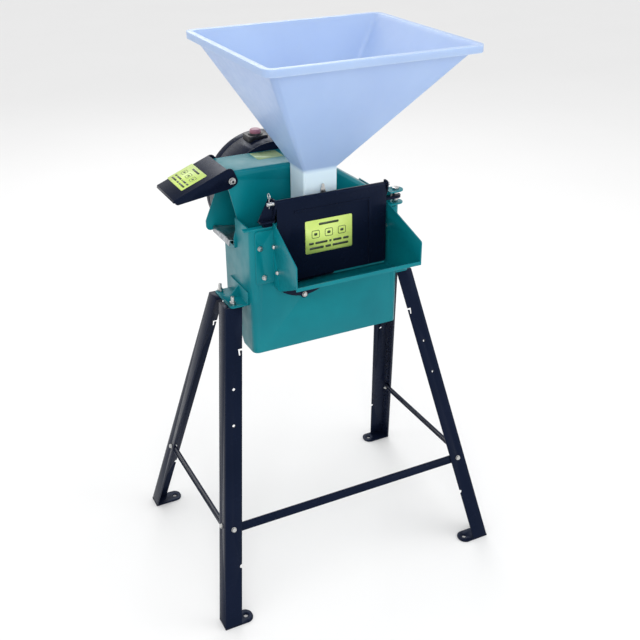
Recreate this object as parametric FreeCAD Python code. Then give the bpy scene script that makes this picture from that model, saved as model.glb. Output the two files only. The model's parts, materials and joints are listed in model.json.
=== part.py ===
import FreeCAD, Part
import math
import os

# Electric forage shredder and grain mill on a four-leg stand.
# Millimetres. Origin on the floor at the centre of the four feet.
# +X to the right along the front, -Y towards the operator, +Z up.

V = FreeCAD.Vector
os.makedirs("parts", exist_ok=True)

# Stand
leg_height = 700.0
leg_flange = 40.0
leg_sheet = 3.0
foot_half_x = 365.0
foot_half_y = 273.0
leg_top_half_x = 239.5
leg_top_half_y = 50.0
foot_tab_length = 74.0
foot_tab_sheet = 4.0
foot_hole_radius = 5.5
foot_hole_inset = 16.0
foot_tab_round_share = 0.45
top_tab_length = 46.0
top_tab_corner_radius = 6.0
flange_hole_radius = 3.5
flange_hole_heights = (448.0, 526.0)
hook_slot_height = 605.0
hook_slot_width = 9.0
hook_slot_height_clear = 5.0
hook_slot_turn = 5.0
hook_slot_drop = 10.0
hook_cut_half_depth = 6.0
edge_notch_height = 133.0
edge_notch_radius = 5.0
brace_height = 221.0
brace_width = 20.0
brace_sheet = 4.0
brace_end_inset = 8.0
brace_corner_radius = 5.0
side_brace_end_inset = 15.0

# Fasteners
m8_radius = 4.0
m6_radius = 3.0
bolt_hole_gap = 0.3
bolt_end_rise = 3.0
washer_share = 0.3
washer_width_share = 2.0
head_width_share = 1.75
head_height_share = 1.1
nut_height_share = 1.5
stand_bolt_half_y = 38.0
stand_bolt_x = 217.0
stand_stud_rise = 12.0

# Sheet-metal body
sheet = 3.0
body_half_x = 185.0
body_front_y = -77.0
body_bottom_z = 586.0
body_top_z = 886.0
body_bend_radius = 14.0
left_wall_back_y = 75.0
left_wall_top_z = 815.0
discharge_front_y = -16.0
discharge_rise = 104.0
ledge_depth = 15.0
ledge_tab_left_x = -199.0
ledge_tab_right_x = -140.0
side_bracket_reach = 43.0
side_bracket_front_y = -55.0
side_bracket_back_y = 47.0
side_bracket_upstand = 32.0
side_bracket_corner_radius = 8.0
gusset_inset = 14.0
guide_foot_share = 1.5

# Rotor chamber
axis_x = -36.0
axis_z = 874.0
casing_front_y = 8.0
casing_back_y = 113.0
liner_roof_gap = 0.5
casing_slope_start_x = 19.0
casing_bottom_z = 690.0
casing_edge_radius = 10.0
spout_kink = 4.0
spout_kink_low_rise = 23.0
spout_kink_high_rise = 62.0
chamber_radius = 110.0
liner_sheet = 2.5
liner_from_deg = -25.0
liner_to_deg = 95.0
sieve_half_deg = 62.0
sieve_sheet = 2.0
sieve_hole_radius = 4.0
sieve_hole_rows = 5
sieve_hole_columns = 9
sieve_punch_in = 4.0
sieve_punch_out = 6.0
sieve_seat_gap = 0.5
inlet_x = -48.0
inlet_z = 838.0
inlet_radius = 60.0

# Side outlet
spout_left_x = -200.0
spout_floor_z = 835.0
spout_lip_drop = 15.0
chamber_left_panel_x = -168.0
chamber_panel_top_gap = 7.0
chamber_panel_corner_radius = 3.0
lug_x = -204.0
lug_z = 836.0
lug_radius = 11.0
lug_plate_reach = 14.0
lug_half_height = 12.0
lug_arm_rise = 33.0
lug_root_radius = 4.0
lug_arm_radius = 8.0
lug_sweep_radius = 20.0

# Deflector over the side outlet
deflector_axis_x = -188.0
deflector_axis_z = 971.0
deflector_sheet = 2.5
deflector_side_gap = 1.0
deflector_reach = 131.0
deflector_slope_deg = 22.0
deflector_height = 29.0
deflector_root_drop = 14.0
deflector_tip_drop = 13.0
deflector_root_share = 0.45
deflector_root_reach = 10.0
deflector_back_radius = 12.0
deflector_tip_radius = 7.0
deflector_root_radius = 10.0
deflector_lip_reach = 3.0
deflector_lip_drop = 5.0
deflector_lip_under = 6.5
pivot_clearance = 0.08

# Front mouth
mouth_x = -60.0
mouth_z = 797.0
mouth_flange_radius = 88.0
mouth_sill_z = 762.0
mouth_head_z = 855.0
mouth_half_width = 52.0
mouth_corner_radius = 12.0
mouth_bolt_z = 711.0
mouth_sleeve_depth = 10.0
mouth_tab_share = 3.0
sleeve_gap = 0.3
trough_left_x = -117.0
trough_right_x = 33.0
trough_wall_top_z = 850.0
trough_sheet = 2.5

# Feed tray
tray_front_y = -230.0
tray_lip_z = 807.0
tray_bend_y = -120.0
tray_bend_z = 753.0
tray_back_z = 748.0
tray_knee_z = 853.0
tray_wing_top_z = 898.0
tray_left_back_x = -133.0
tray_left_front_x = -150.0
tray_right_back_x = 147.0
tray_right_front_x = 149.0
tray_sheet = 2.5
tray_flange_outer_x = 175.0
tray_flange_bottom_z = 757.0
tray_flange_top_z = 880.0
tray_hem = 8.0
tray_back_gap = 5.0
tray_corner_radius = 6.0
tray_bolt_places = ((-164.0, 841.0), (-156.0, 772.0), (164.0, 841.0), (160.0, 772.0))
tray_rivet_y = -107.0
tray_rivet_z = 790.0
rivet_radius = 3.0
rivet_head = 2.0
rivet_head_share = 1.8
rivet_tail_share = 1.6
stop_stud_z = 842.0
stop_bumper_radius = 5.0
stop_overlap = 8.0

# Front guard flap
flap_rod_radius = 4.0
flap_rod_y = -86.0
flap_rod_z = 940.0
flap_left_x = -128.0
flap_right_x = 138.0
flap_sheet = 2.0
flap_lean_deg = 1.5
flap_length = 180.0
flap_knuckle_wall = 2.0
flap_corner_radius = 5.0
rest_gap = 0.3
flap_crease_x = 93.0
flap_crease_width = 6.0
flap_crease_height = 2.0
flap_crease_bottom_gap = 4.0
flap_crease_top_gap = 24.0
flap_fold_inset = 40.0
flap_fold_low = 26.0
flap_fold_high = 22.0
flap_bracket_sheet = 3.0
flap_end_gap = 1.5
flap_ear_half = 9.0
flap_ear_foot = 4.0
flap_ear_radius = 8.0
flap_ear_root_radius = 3.0
flap_face_reach = 8.0
flap_foot_width = 20.0
rod_end_reach = 6.0
clip_inset = 5.0
clip_reach = 9.0
clip_rise = 12.0
clip_wire_radius = 1.0
clip_curl_radius = 6.0
clip_hole_radius = 1.1

# Right-hand ears that hold the guard
ear_left_x = 149.0
ear_pin_x = 171.0
ear_round_radius = 17.0
ear_sheet = 3.0
lower_ear_z = 889.0
upper_ear_z = 918.0
tongue_z = 902.0
tongue_sheet = 6.0
ear_pin_radius = 4.0
ear_post_width = 12.0
ear_post_setback = 3.0
ear_room_setback = 2.5
ear_room_depth = 40.0
ear_pin_head_share = 1.9
ear_pin_head_height = 4.0
ear_pin_collar_share = 1.7
tongue_round_share = 0.7
pin_bore_reach = 20.0

# Hopper
hopper_wall = 3.0
rim_left_x = -208.0
rim_right_x = 276.0
rim_front_y = -240.0
rim_back_y = 197.0
rim_top_z = 1256.0
rim_skirt = 15.0
rim_ledge = 9.0
rim_corner_radius = 22.0
neck_left_x = -54.0
neck_right_x = 27.0
neck_front_y = -72.0
neck_back_y = 2.0
neck_top_z = 993.0
neck_bottom_z = 892.0
neck_corner_radius = 7.0
hopper_screw_half_x = 22.0
hopper_screw_z = 950.0
hopper_pad_half_width = 32.0
hopper_pad_half_height = 14.0

# Grain gate
gate_z = 908.0
gate_sheet = 2.0
gate_slot_gap = 0.5
gate_handle_left_x = -18.0
gate_handle_right_x = -4.0
gate_handle_top_z = 962.0
gate_handle_tip_width = 5.0
gate_handle_front_y = -77.0
gate_handle_taper = 22.0
gate_shoulder_radius = 3.0
gate_tip_radius = 2.0

# Rotor
shaft_radius = 12.5
shaft_front_y = 18.0
shaft_back_y = 223.0
disc_radius = 88.0
disc_sheet = 5.0
front_disc_y = 31.0
back_disc_y = 90.0
hub_radius = 28.0
hammer_pin_radius = 5.0
hammer_pin_circle = 70.0
hammer_pin_gap = 0.08
hammer_count = 4
hammer_tip_reach = 34.0
hammer_half_width = 12.0
hammer_side_gap = 0.5
first_hammer_deg = 45.0
pin_head_radius = 7.5
pin_head_sheet = 2.0
knife_inner = 34.0
knife_outer = 100.0
knife_half_width = 16.0
knife_sheet = 6.0
knife_edge_bevel = 6.0
knife_corner_radius = 3.0
knife_bolt_circles = (48.0, 74.0)
rotor_nut_radius = 16.0
rotor_nut_sheet = 9.0
rotor_nut_flat_share = 1.15
rotor_washer_share = 1.3
key_width = 8.0
key_height = 7.0
key_end_gap = 4.0

# Motor
motor_radius = 135.0
motor_wall = 3.0
shield_sheet = 5.0
motor_drum_back_y = 200.0
motor_back_y = 229.0
bearing_outer_radius = 26.0
bearing_width = 15.0
bearing_boss_wall = 6.0
bearing_seat_gap = 0.05
stator_front_y = 142.0
stator_back_y = 176.0
stator_bore = 72.5
air_gap = 0.8
winding_outer = 112.0
winding_inner = 78.0
winding_reach = 11.0
motor_screw_circle = 118.0
motor_screw_first_deg = 45.0
motor_screw_count = 4
motor_screw_head = 1.5
motor_screw_stud = 9.0
motor_nut_height = 6.0
shaft_hole_gap = 1.5
fan_radius = 92.0
fan_blade_count = 6
fan_blade_sheet = 2.5
fan_front_y = 204.0
fan_depth = 15.0
fan_hub_radius = 20.0
fan_disc_share = 0.6
fan_blade_sink = 4.0
cowl_slot_count = 12
cowl_slot_inner = 35.0
cowl_slot_outer = 95.0
cowl_slot_half_width = 4.0
cowl_sheet = 2.5
cowl_bend_radius = 9.0

# Switch on top of the motor
switch_x = -60.0
switch_y = 172.0
switch_half_x = 24.0
switch_half_y = 22.0
switch_rise = 5.0
switch_collar_radius = 17.0
switch_collar_height = 3.0
switch_seat_share = 0.8
switch_corner_radius = 6.0
button_radius = 13.0
button_rise = 9.0
button_travel = 3.0
button_stem_radius = 6.0
button_stem_length = 4.0
button_side_gap = 0.3
button_well_depth = 12.0
button_edge_radius = 4.0
gland_deg = -35.0
gland_y = 187.0
gland_radius = 10.0
gland_length = 18.0
gland_spigot_radius = 6.0
gland_bore = 4.0
gland_nut_share = 0.4
gland_dome_share = 0.75
gland_bore_reach = 3.0

# Cutting and matching
cut_reach = 10.0
match_gap = 0.01
full_round = 0.98

# Values worked out from the driving sizes
casing_top_z = axis_z + chamber_radius + liner_sheet + liner_roof_gap + sheet
switch_top_z = axis_z + motor_radius + switch_rise
leg_slope_x = (foot_half_x - leg_top_half_x) / leg_height
leg_slope_y = (foot_half_y - leg_top_half_y) / leg_height
bracket_z = leg_height
body_inner_x = body_half_x - sheet
body_inner_front_y = body_front_y + sheet
casing_inner_front_y = casing_front_y + sheet
casing_inner_back_y = casing_back_y - sheet
discharge_slope = discharge_rise / (left_wall_back_y - discharge_front_y)
casing_slope = (casing_top_z - body_top_z + sheet) / (body_inner_x - casing_slope_start_x)
slant_deg = math.degrees(math.atan(casing_slope))


def box(x0, x1, y0, y1, z0, z1):
    """Block between two opposite corners."""
    return Part.makeBox(x1 - x0, y1 - y0, z1 - z0, V(x0, y0, z0))


def rod(start, end, radius):
    """Round bar between two points."""
    axis = end - start
    return Part.makeCylinder(radius, axis.Length, start, axis)


def tube(start, end, outer, inner):
    """Round tube between two points."""
    return rod(start, end, outer).cut(rod(start, end, inner))


def outline(points, radii):
    """Closed wire through the points, with each corner rounded by its own radius."""
    edges = []
    starts = []
    ends = []
    count = len(points)
    for index, corner in enumerate(points):
        radius = radii[index]
        if radius == 0:
            starts.append(corner)
            ends.append(corner)
            continue
        to_last = points[index - 1] - corner
        to_next = points[(index + 1) % count] - corner
        half_angle = to_last.getAngle(to_next) / 2
        cut_back = radius / math.tan(half_angle)
        first = corner + to_last.normalize() * cut_back
        last = corner + to_next.normalize() * cut_back
        bisector = (to_last + to_next).normalize()
        middle = corner + bisector * (radius / math.sin(half_angle) - radius)
        edges.append((index, Part.Arc(first, middle, last).toShape()))
        starts.append(first)
        ends.append(last)
    arcs = dict(edges)
    parts = []
    for index in range(count):
        if index in arcs:
            parts.append(arcs[index])
        following = (index + 1) % count
        if ends[index].distanceToPoint(starts[following]) > 1e-6:
            parts.append(Part.makeLine(ends[index], starts[following]))
    return Part.Wire(parts)


def plate(points, thickness, radii=None):
    """Flat plate: the outline of the points, thickened along a vector."""
    corner_radii = radii or [0] * len(points)
    return Part.Face(outline(points, corner_radii)).extrude(thickness)


def plate_x(points, x0, x1, radii=None):
    """Plate with its outline in YZ."""
    return plate([V(x0, y, z) for y, z in points], V(x1 - x0, 0, 0), radii)


def plate_y(points, y0, y1, radii=None):
    """Plate with its outline in XZ."""
    return plate([V(x, y0, z) for x, z in points], V(0, y1 - y0, 0), radii)


def plate_z(points, z0, z1, radii=None):
    """Plate with its outline in XY."""
    return plate([V(x, y, z0) for x, y in points], V(0, 0, z1 - z0), radii)


def hexagon(centre, axis, radius, height):
    """Hexagonal prism that starts at the centre and rises along the axis."""
    up = V(axis.x, axis.y, axis.z).normalize()
    helper = V(1, 0, 0) if abs(up.x) < 0.9 else V(0, 1, 0)
    side = up.cross(helper).normalize()
    other = up.cross(side).normalize()
    corners = []
    for step in range(6):
        turn = math.radians(60 * step)
        corners.append(centre + side * (radius * math.cos(turn)) + other * (radius * math.sin(turn)))
    return plate(corners, up * height)


def bolt(seat, out, grip, radius, stud=bolt_end_rise):
    """Hexagon bolt: head outside the seat, nut on the far face, stud end past the nut."""
    away = V(out.x, out.y, out.z).normalize()
    head = hexagon(seat + away * (radius * washer_share), away, radius * head_width_share,
                   radius * head_height_share)
    washer = rod(seat, seat + away * (radius * washer_share), radius * washer_width_share)
    far = seat - away * grip
    nut = hexagon(far, away * -1, radius * head_width_share, radius * nut_height_share)
    shank = rod(seat, far - away * (radius * nut_height_share + stud), radius)
    return head.fuse([washer, nut, shank]).removeSplitter()


def bolt_hole(seat, out, grip, radius):
    """Clearance hole for a bolt."""
    away = V(out.x, out.y, out.z).normalize()
    return rod(seat + away, seat - away * (grip + 1), radius + bolt_hole_gap)


def turned(shape, centre, axis, degrees):
    """Copy of a shape turned about an axis."""
    copy = shape.copy()
    copy.rotate(centre, axis, degrees)
    return copy


def save(name, shape):
    """Write one node, as its single solid or as a group of solids."""
    clean = shape if len(shape.Solids) > 1 else shape.removeSplitter()
    clean.exportStep(os.path.join("parts", name + ".step"))


def group(shapes):
    """Separate solids kept together in one node."""
    return Part.makeCompound(shapes)


def around(radius, degrees, y):
    """Point on a circle about the rotor axis."""
    turn = math.radians(degrees)
    return V(axis_x + radius * math.cos(turn), y, axis_z + radius * math.sin(turn))


def sector(outer, inner, from_deg, to_deg, y0, y1):
    """Part of a ring about the rotor axis."""
    middle = (from_deg + to_deg) / 2
    arcs = [
        Part.Arc(around(outer, from_deg, y0), around(outer, middle, y0),
                 around(outer, to_deg, y0)).toShape(),
        Part.makeLine(around(outer, to_deg, y0), around(inner, to_deg, y0)),
        Part.Arc(around(inner, to_deg, y0), around(inner, middle, y0),
                 around(inner, from_deg, y0)).toShape(),
        Part.makeLine(around(inner, from_deg, y0), around(outer, from_deg, y0)),
    ]
    return Part.Face(Part.Wire(arcs)).extrude(V(0, y1 - y0, 0))


# ---------------------------------------------------------------- stand

def leg_corner(side, end, z):
    """Outer bend of a leg at a height."""
    return V(side * (foot_half_x - leg_slope_x * z), end * (foot_half_y - leg_slope_y * z), z)


def leg_axis(side, end):
    """Direction of a leg, upwards."""
    return leg_corner(side, end, leg_height) - leg_corner(side, end, 0)


def facing(normal, direction):
    """Unit normal, flipped where needed to point the given way."""
    unit = normal.normalize()
    return unit if unit.dot(direction) > 0 else unit * -1


def end_normal(side, end):
    """Outward normal of the flange that faces the front or the back."""
    return facing(leg_axis(side, end).cross(V(1, 0, 0)), V(0, end, 0))


def side_normal(side, end):
    """Outward normal of the flange that faces left or right."""
    return facing(leg_axis(side, end).cross(V(0, 1, 0)), V(side, 0, 0))


def end_flange_seat(side, end, z):
    """Middle of the front or back flange, on its outer face."""
    return leg_corner(side, end, z) + V(-side * leg_flange / 2, 0, 0)


def side_flange_seat(side, end, z):
    """Middle of the left or right flange, on its outer face."""
    return leg_corner(side, end, z) + V(0, -end * (side_brace_end_inset + leg_flange / 4), 0)


brace_grip = leg_sheet + brace_sheet


def leg_bolt_holes(side, end):
    """Holes for the brace bolts of one leg."""
    holes = [bolt_hole(side_flange_seat(side, end, brace_height), side_normal(side, end), brace_grip,
                       m6_radius)]
    if end < 0:
        seat = end_flange_seat(side, end, brace_height)
        holes.append(bolt_hole(seat, end_normal(side, end), brace_grip, m6_radius))
    return holes


def stand_bolt_seat(side, end):
    """Underside of a leg's top tab, where the stand bolt's head sits."""
    return V(side * stand_bolt_x, end * stand_bolt_half_y, leg_height - foot_tab_sheet)


def stand_hole(side, end):
    """Vertical hole through a leg's top tab and the body bracket."""
    return bolt_hole(stand_bolt_seat(side, end), V(0, 0, -1), foot_tab_sheet + sheet, m8_radius)


def foot_hole_place(side, end):
    """Centre of the floor bolt hole in a foot tab."""
    reach = foot_tab_length - foot_hole_inset
    return V(side * (foot_half_x - reach), end * (foot_half_y - leg_flange / 2), 0)


def make_leg(side, end):
    """Pressed angle leg with its foot tab, top tab, holes and notches."""
    foot = leg_corner(side, end, 0)
    inward_x = -side * leg_flange
    inward_y = -end * leg_flange
    wall_x = -side * leg_sheet
    wall_y = -end * leg_sheet
    section = [(0, 0), (inward_x, 0), (inward_x, wall_y), (wall_x, wall_y), (wall_x, inward_y),
               (0, inward_y)]
    angle = plate([foot + V(x, y, 0) for x, y in section], leg_axis(side, end))
    tab_end = foot.x - side * foot_tab_length
    tab_points = [(foot.x, foot.y), (tab_end, foot.y), (tab_end, foot.y + inward_y),
                  (foot.x, foot.y + inward_y)]
    tab_round = leg_flange * foot_tab_round_share
    tab = plate_z(tab_points, 0, foot_tab_sheet, [0, tab_round, tab_round, 0])
    top = leg_corner(side, end, leg_height)
    top_end = top.x - side * top_tab_length
    top_points = [(top.x, top.y), (top_end, top.y), (top_end, top.y + inward_y), (top.x, top.y + inward_y)]
    top_tab = plate_z(top_points, leg_height - foot_tab_sheet, leg_height,
                      [0, top_tab_corner_radius, top_tab_corner_radius, 0])
    shape = angle.fuse([tab, top_tab])
    through = V(0, end * (leg_flange + leg_sheet), 0)
    cuts = leg_bolt_holes(side, end) + [stand_hole(side, end)]
    floor_hole = foot_hole_place(side, end)
    cuts.append(rod(floor_hole - V(0, 0, 1), floor_hole + V(0, 0, foot_tab_sheet + 1), foot_hole_radius))
    for height in flange_hole_heights:
        middle = end_flange_seat(side, end, height)
        cuts.append(rod(middle - through * 0.5, middle + through * 0.5, flange_hole_radius))
    notch = leg_corner(side, end, edge_notch_height) + V(inward_x, 0, 0)
    cuts.append(rod(notch - through * 0.5, notch + through * 0.5, edge_notch_radius))
    hook = leg_corner(side, end, hook_slot_height) + V(inward_x, 0, 0)
    x0, x1 = sorted((hook.x - side * 2, hook.x + side * hook_slot_width))
    cuts.append(box(x0, x1, hook.y - hook_cut_half_depth, hook.y + hook_cut_half_depth, hook.z,
                    hook.z + hook_slot_height_clear))
    x2, x3 = sorted((hook.x + side * hook_slot_turn, hook.x + side * hook_slot_width))
    cuts.append(box(x2, x3, hook.y - hook_cut_half_depth, hook.y + hook_cut_half_depth,
                    hook.z - hook_slot_drop, hook.z + 1))
    return shape.cut(cuts)


def brace_strip(middle, along, normal, half_length):
    """Flat bar against the inner face of the flanges."""
    up = normal.cross(along).normalize()
    if up.z < 0:
        up = up * -1
    half_width = brace_width / 2
    corners = [
        middle - along * half_length - up * half_width,
        middle + along * half_length - up * half_width,
        middle + along * half_length + up * half_width,
        middle - along * half_length + up * half_width,
    ]
    return plate(corners, normal * -brace_sheet, [brace_corner_radius] * 4)


def make_front_brace():
    """Cross bar between the two front legs."""
    normal = end_normal(1, -1)
    corner = leg_corner(1, -1, brace_height)
    middle = V(0, corner.y, brace_height) - normal * leg_sheet
    bar = brace_strip(middle, V(1, 0, 0), normal, corner.x - brace_end_inset)
    holes = [leg_bolt_holes(side, -1)[1] for side in (-1, 1)]
    return bar.cut(holes)


def make_side_brace(side):
    """Bar between the front and the back leg of one side."""
    normal = side_normal(side, 1)
    corner = leg_corner(side, 1, brace_height)
    middle = V(corner.x, 0, brace_height) - normal * leg_sheet
    bar = brace_strip(middle, V(0, 1, 0), normal, corner.y - side_brace_end_inset)
    holes = [leg_bolt_holes(side, end)[0] for end in (-1, 1)]
    return bar.cut(holes)


def make_brace_bolts():
    """Six bolts that hold the three braces."""
    bolts = []
    for side in (-1, 1):
        seat = end_flange_seat(side, -1, brace_height)
        bolts.append(bolt(seat, end_normal(side, -1), brace_grip, m6_radius))
        for end in (-1, 1):
            seat = side_flange_seat(side, end, brace_height)
            bolts.append(bolt(seat, side_normal(side, end), brace_grip, m6_radius))
    return group(bolts)


def make_stand_bolts():
    """Four upright bolts between the legs and the body brackets."""
    grip = foot_tab_sheet + sheet
    bolts = []
    for side in (-1, 1):
        for end in (-1, 1):
            bolts.append(bolt(stand_bolt_seat(side, end), V(0, 0, -1), grip, m8_radius, stand_stud_rise))
    return group(bolts)


def make_side_bracket(side):
    """Shelf on the body wall that the leg tabs bolt up under."""
    wall = side * body_half_x
    tip = side * (body_half_x + side_bracket_reach)
    shelf_points = [(wall, side_bracket_front_y), (tip, side_bracket_front_y),
                    (tip, side_bracket_back_y), (wall, side_bracket_back_y)]
    shelf = plate_z(shelf_points, bracket_z, bracket_z + sheet,
                    [0, side_bracket_corner_radius, side_bracket_corner_radius, 0])
    inner = wall + side * sheet
    x0, x1 = sorted((wall, inner))
    upstand = box(x0, x1, side_bracket_front_y, side_bracket_back_y, bracket_z,
                  bracket_z + side_bracket_upstand)
    gusset_top = bracket_z + side_bracket_upstand
    gusset_tip = tip - side * gusset_inset
    gusset_points = [(wall, bracket_z), (gusset_tip, bracket_z), (wall, gusset_top)]
    gusset = plate_y(gusset_points, -sheet / 2 - 2, sheet / 2 - 2)
    return shelf.fuse([upstand, gusset]).cut([stand_hole(side, end) for end in (-1, 1)])


# ---------------------------------------------------------------- sheet-metal body

def discharge_line_z(y):
    """Height of the slanted rear edge of the body at a depth."""
    return body_bottom_z + (y - discharge_front_y) * discharge_slope


def front_bolt_holes():
    """Holes for the tray bolts and the mouth ring bolt in the front plate."""
    grip = sheet + tray_sheet
    front = body_front_y - tray_sheet
    holes = [bolt_hole(V(x, front, z), V(0, -1, 0), grip, m6_radius) for x, z in tray_bolt_places]
    holes.append(bolt_hole(V(mouth_x, body_front_y - sheet, mouth_bolt_z), V(0, -1, 0), sheet * 2,
                           m6_radius))
    return holes


def mouth_opening(y0, y1, grow=0.0):
    """Rounded opening of the front mouth."""
    left = mouth_x - mouth_half_width - grow
    right = mouth_x + mouth_half_width + grow
    points = [(left, mouth_sill_z - grow), (right, mouth_sill_z - grow),
              (right, mouth_head_z + grow), (left, mouth_head_z + grow)]
    return plate_y(points, y0, y1, [mouth_corner_radius + grow] * 4)


def make_body_skirt():
    """Folded front plate with both side walls, open below and behind."""
    outer = [(-body_half_x, left_wall_back_y), (-body_half_x, body_front_y),
             (body_half_x, body_front_y), (body_half_x, casing_back_y)]
    inner = [(-body_inner_x, left_wall_back_y + 1), (-body_inner_x, body_inner_front_y),
             (body_inner_x, body_inner_front_y), (body_inner_x, casing_back_y + 1)]
    inner_bend = body_bend_radius - sheet
    shell = plate_z(outer, body_bottom_z, body_top_z, [0, body_bend_radius, body_bend_radius, 0])
    hollow = plate_z(inner, body_bottom_z - 1, body_top_z + 1, [0, inner_bend, inner_bend, 0])
    shell = shell.cut(hollow)
    behind = casing_back_y + cut_reach
    taper = plate_x([(discharge_front_y, body_bottom_z), (behind, discharge_line_z(behind)),
                     (behind, body_bottom_z - cut_reach), (discharge_front_y, body_bottom_z - cut_reach)],
                    -body_half_x - 1, body_half_x + 1)
    outlet = box(-body_half_x - 1, -body_inner_x + 1, casing_front_y, left_wall_back_y + 1,
                 left_wall_top_z, body_top_z + 1)
    ledge = box(-body_inner_x, body_inner_x, body_front_y + 1, body_front_y + ledge_depth,
                body_top_z - sheet, body_top_z)
    ledge_tab = box(ledge_tab_left_x, ledge_tab_right_x, body_front_y, body_front_y + ledge_depth,
                    body_top_z - sheet, body_top_z)
    opening = mouth_opening(body_front_y - 1, body_inner_front_y + 1, sheet + 1)
    shell = shell.fuse([ledge, ledge_tab])
    return shell.cut([taper, outlet, opening] + front_bolt_holes())


def slanted_top_z(x):
    """Height of the casing's top at a place across its width."""
    if x <= casing_slope_start_x:
        return casing_top_z
    return casing_top_z - (x - casing_slope_start_x) * casing_slope


casing_right_x = body_inner_x
neck_middle_x = (neck_left_x + neck_right_x) / 2
hopper_screw_places = [neck_middle_x - hopper_screw_half_x, neck_middle_x + hopper_screw_half_x]
hopper_grip = hopper_wall + (casing_front_y - neck_back_y) + sheet


def hopper_screw_holes():
    """Holes for the two screws that hold the hopper neck."""
    inside = neck_back_y - hopper_wall
    return [bolt_hole(V(x, inside, hopper_screw_z), V(0, -1, 0), hopper_grip,
                      m6_radius) for x in hopper_screw_places]


def pivot_hole(y0, y1, radius):
    """Bore on the deflector's hinge line."""
    return rod(V(deflector_axis_x, y0, deflector_axis_z), V(deflector_axis_x, y1, deflector_axis_z), radius)


def make_casing_shell():
    """Front plate and folded top of the rotor casing."""
    right_top = slanted_top_z(casing_right_x)
    left_inner = -body_inner_x
    front = [(spout_left_x, casing_top_z), (casing_slope_start_x, casing_top_z),
             (casing_right_x, right_top),
             (casing_right_x, casing_bottom_z), (left_inner, casing_bottom_z),
             (left_inner, left_wall_top_z),
             (left_inner - sheet - spout_kink, left_wall_top_z),
             (left_inner - sheet - spout_kink, left_wall_top_z + spout_kink_low_rise),
             (left_inner + spout_kink, left_wall_top_z + spout_kink_high_rise),
             (spout_left_x, deflector_axis_z)]
    solid = plate_y(front, casing_front_y, casing_inner_back_y)
    bends = []
    for edge in solid.Edges:
        middle = edge.valueAt((edge.FirstParameter + edge.LastParameter) / 2)
        on_front = abs(middle.y - casing_front_y) < match_gap
        on_top = abs(middle.z - slanted_top_z(middle.x)) < match_gap
        if on_front and on_top:
            bends.append(edge)
    solid = solid.makeFillet(casing_edge_radius, bends)
    drop = sheet / math.cos(math.radians(slant_deg))
    far_right = casing_right_x + cut_reach
    hollow_points = [(spout_left_x - 1, casing_top_z - sheet),
                     (casing_slope_start_x - 1, casing_top_z - sheet),
                     (far_right, slanted_top_z(far_right) - drop), (far_right, casing_bottom_z - 1),
                     (spout_left_x - 1, casing_bottom_z - 1)]
    hollow = plate_y(hollow_points, casing_inner_front_y, casing_inner_back_y + 1)
    inlet = rod(V(inlet_x, casing_front_y - 1, inlet_z), V(inlet_x, casing_inner_front_y + 1, inlet_z),
                inlet_radius)
    pin = pivot_hole(casing_front_y - 1, casing_inner_front_y + 1, m8_radius + pivot_clearance)
    return solid.cut([hollow, inlet, pin] + hopper_screw_holes())


def motor_screw_places():
    """Angles of the four motor screws."""
    return [motor_screw_first_deg + 360 / motor_screw_count * step for step in range(motor_screw_count)]


motor_screw_grip = sheet + shield_sheet


def motor_screw_holes():
    """Holes through the back plate and the motor's front shield."""
    holes = []
    for degrees in motor_screw_places():
        seat = around(motor_screw_circle, degrees, casing_inner_back_y)
        holes.append(bolt_hole(seat, V(0, -1, 0), motor_screw_grip, m8_radius))
        holes.append(rod(seat - V(0, 1, 0), seat + V(0, motor_screw_head, 0),
                         m8_radius * 2 + bolt_hole_gap))
    return holes


def make_casing_back_plate():
    """Plate that closes the casing behind and carries the motor."""
    right = casing_right_x
    bottom = discharge_line_z(casing_back_y) + sheet
    left = chamber_left_panel_x
    points = [(spout_left_x, casing_top_z), (casing_slope_start_x, casing_top_z),
              (right, slanted_top_z(right)),
              (right, bottom), (left, bottom), (left, left_wall_top_z),
              (lug_x + lug_plate_reach, lug_z - lug_half_height),
              (lug_x - lug_radius, lug_z - lug_half_height), (lug_x - lug_radius, lug_z + lug_half_height),
              (lug_x + lug_plate_reach, axis_z + lug_arm_rise)]
    radii = [0, 0, 0, 0, 0, 0, lug_root_radius, lug_radius, lug_arm_radius, lug_sweep_radius]
    solid = plate_y(points, casing_inner_back_y, casing_back_y, radii)
    shaft_hole = rod(V(axis_x, casing_inner_back_y - 1, axis_z), V(axis_x, casing_back_y + 1, axis_z),
                     shaft_radius + shaft_hole_gap)
    pin = pivot_hole(casing_inner_back_y - 1, casing_back_y + 1, m8_radius + pivot_clearance)
    return solid.cut([shaft_hole, pin] + motor_screw_holes())


def make_chamber_liner():
    """Curved wear liner over the top and the right of the rotor."""
    return sector(chamber_radius + liner_sheet, chamber_radius, liner_from_deg, liner_to_deg,
                  casing_inner_front_y, casing_inner_back_y)


def make_sieve():
    """Perforated half-round screen below the rotor."""
    low = -90 - sieve_half_deg
    high = -90 + sieve_half_deg
    shape = sector(chamber_radius + sieve_sheet, chamber_radius, low, high, casing_inner_front_y,
                   casing_inner_back_y)
    holes = []
    pitch_y = (casing_inner_back_y - casing_inner_front_y) / (sieve_hole_rows + 1)
    pitch_deg = 2 * sieve_half_deg / (sieve_hole_columns + 1)
    for row in range(sieve_hole_rows):
        y = casing_inner_front_y + pitch_y * (row + 1)
        for column in range(sieve_hole_columns):
            degrees = low + pitch_deg * (column + 1)
            inner = around(chamber_radius - sieve_punch_in, degrees, y)
            outer = around(chamber_radius + sieve_punch_out, degrees, y)
            holes.append(rod(inner, outer, sieve_hole_radius))
    return shape.cut(holes)


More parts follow.
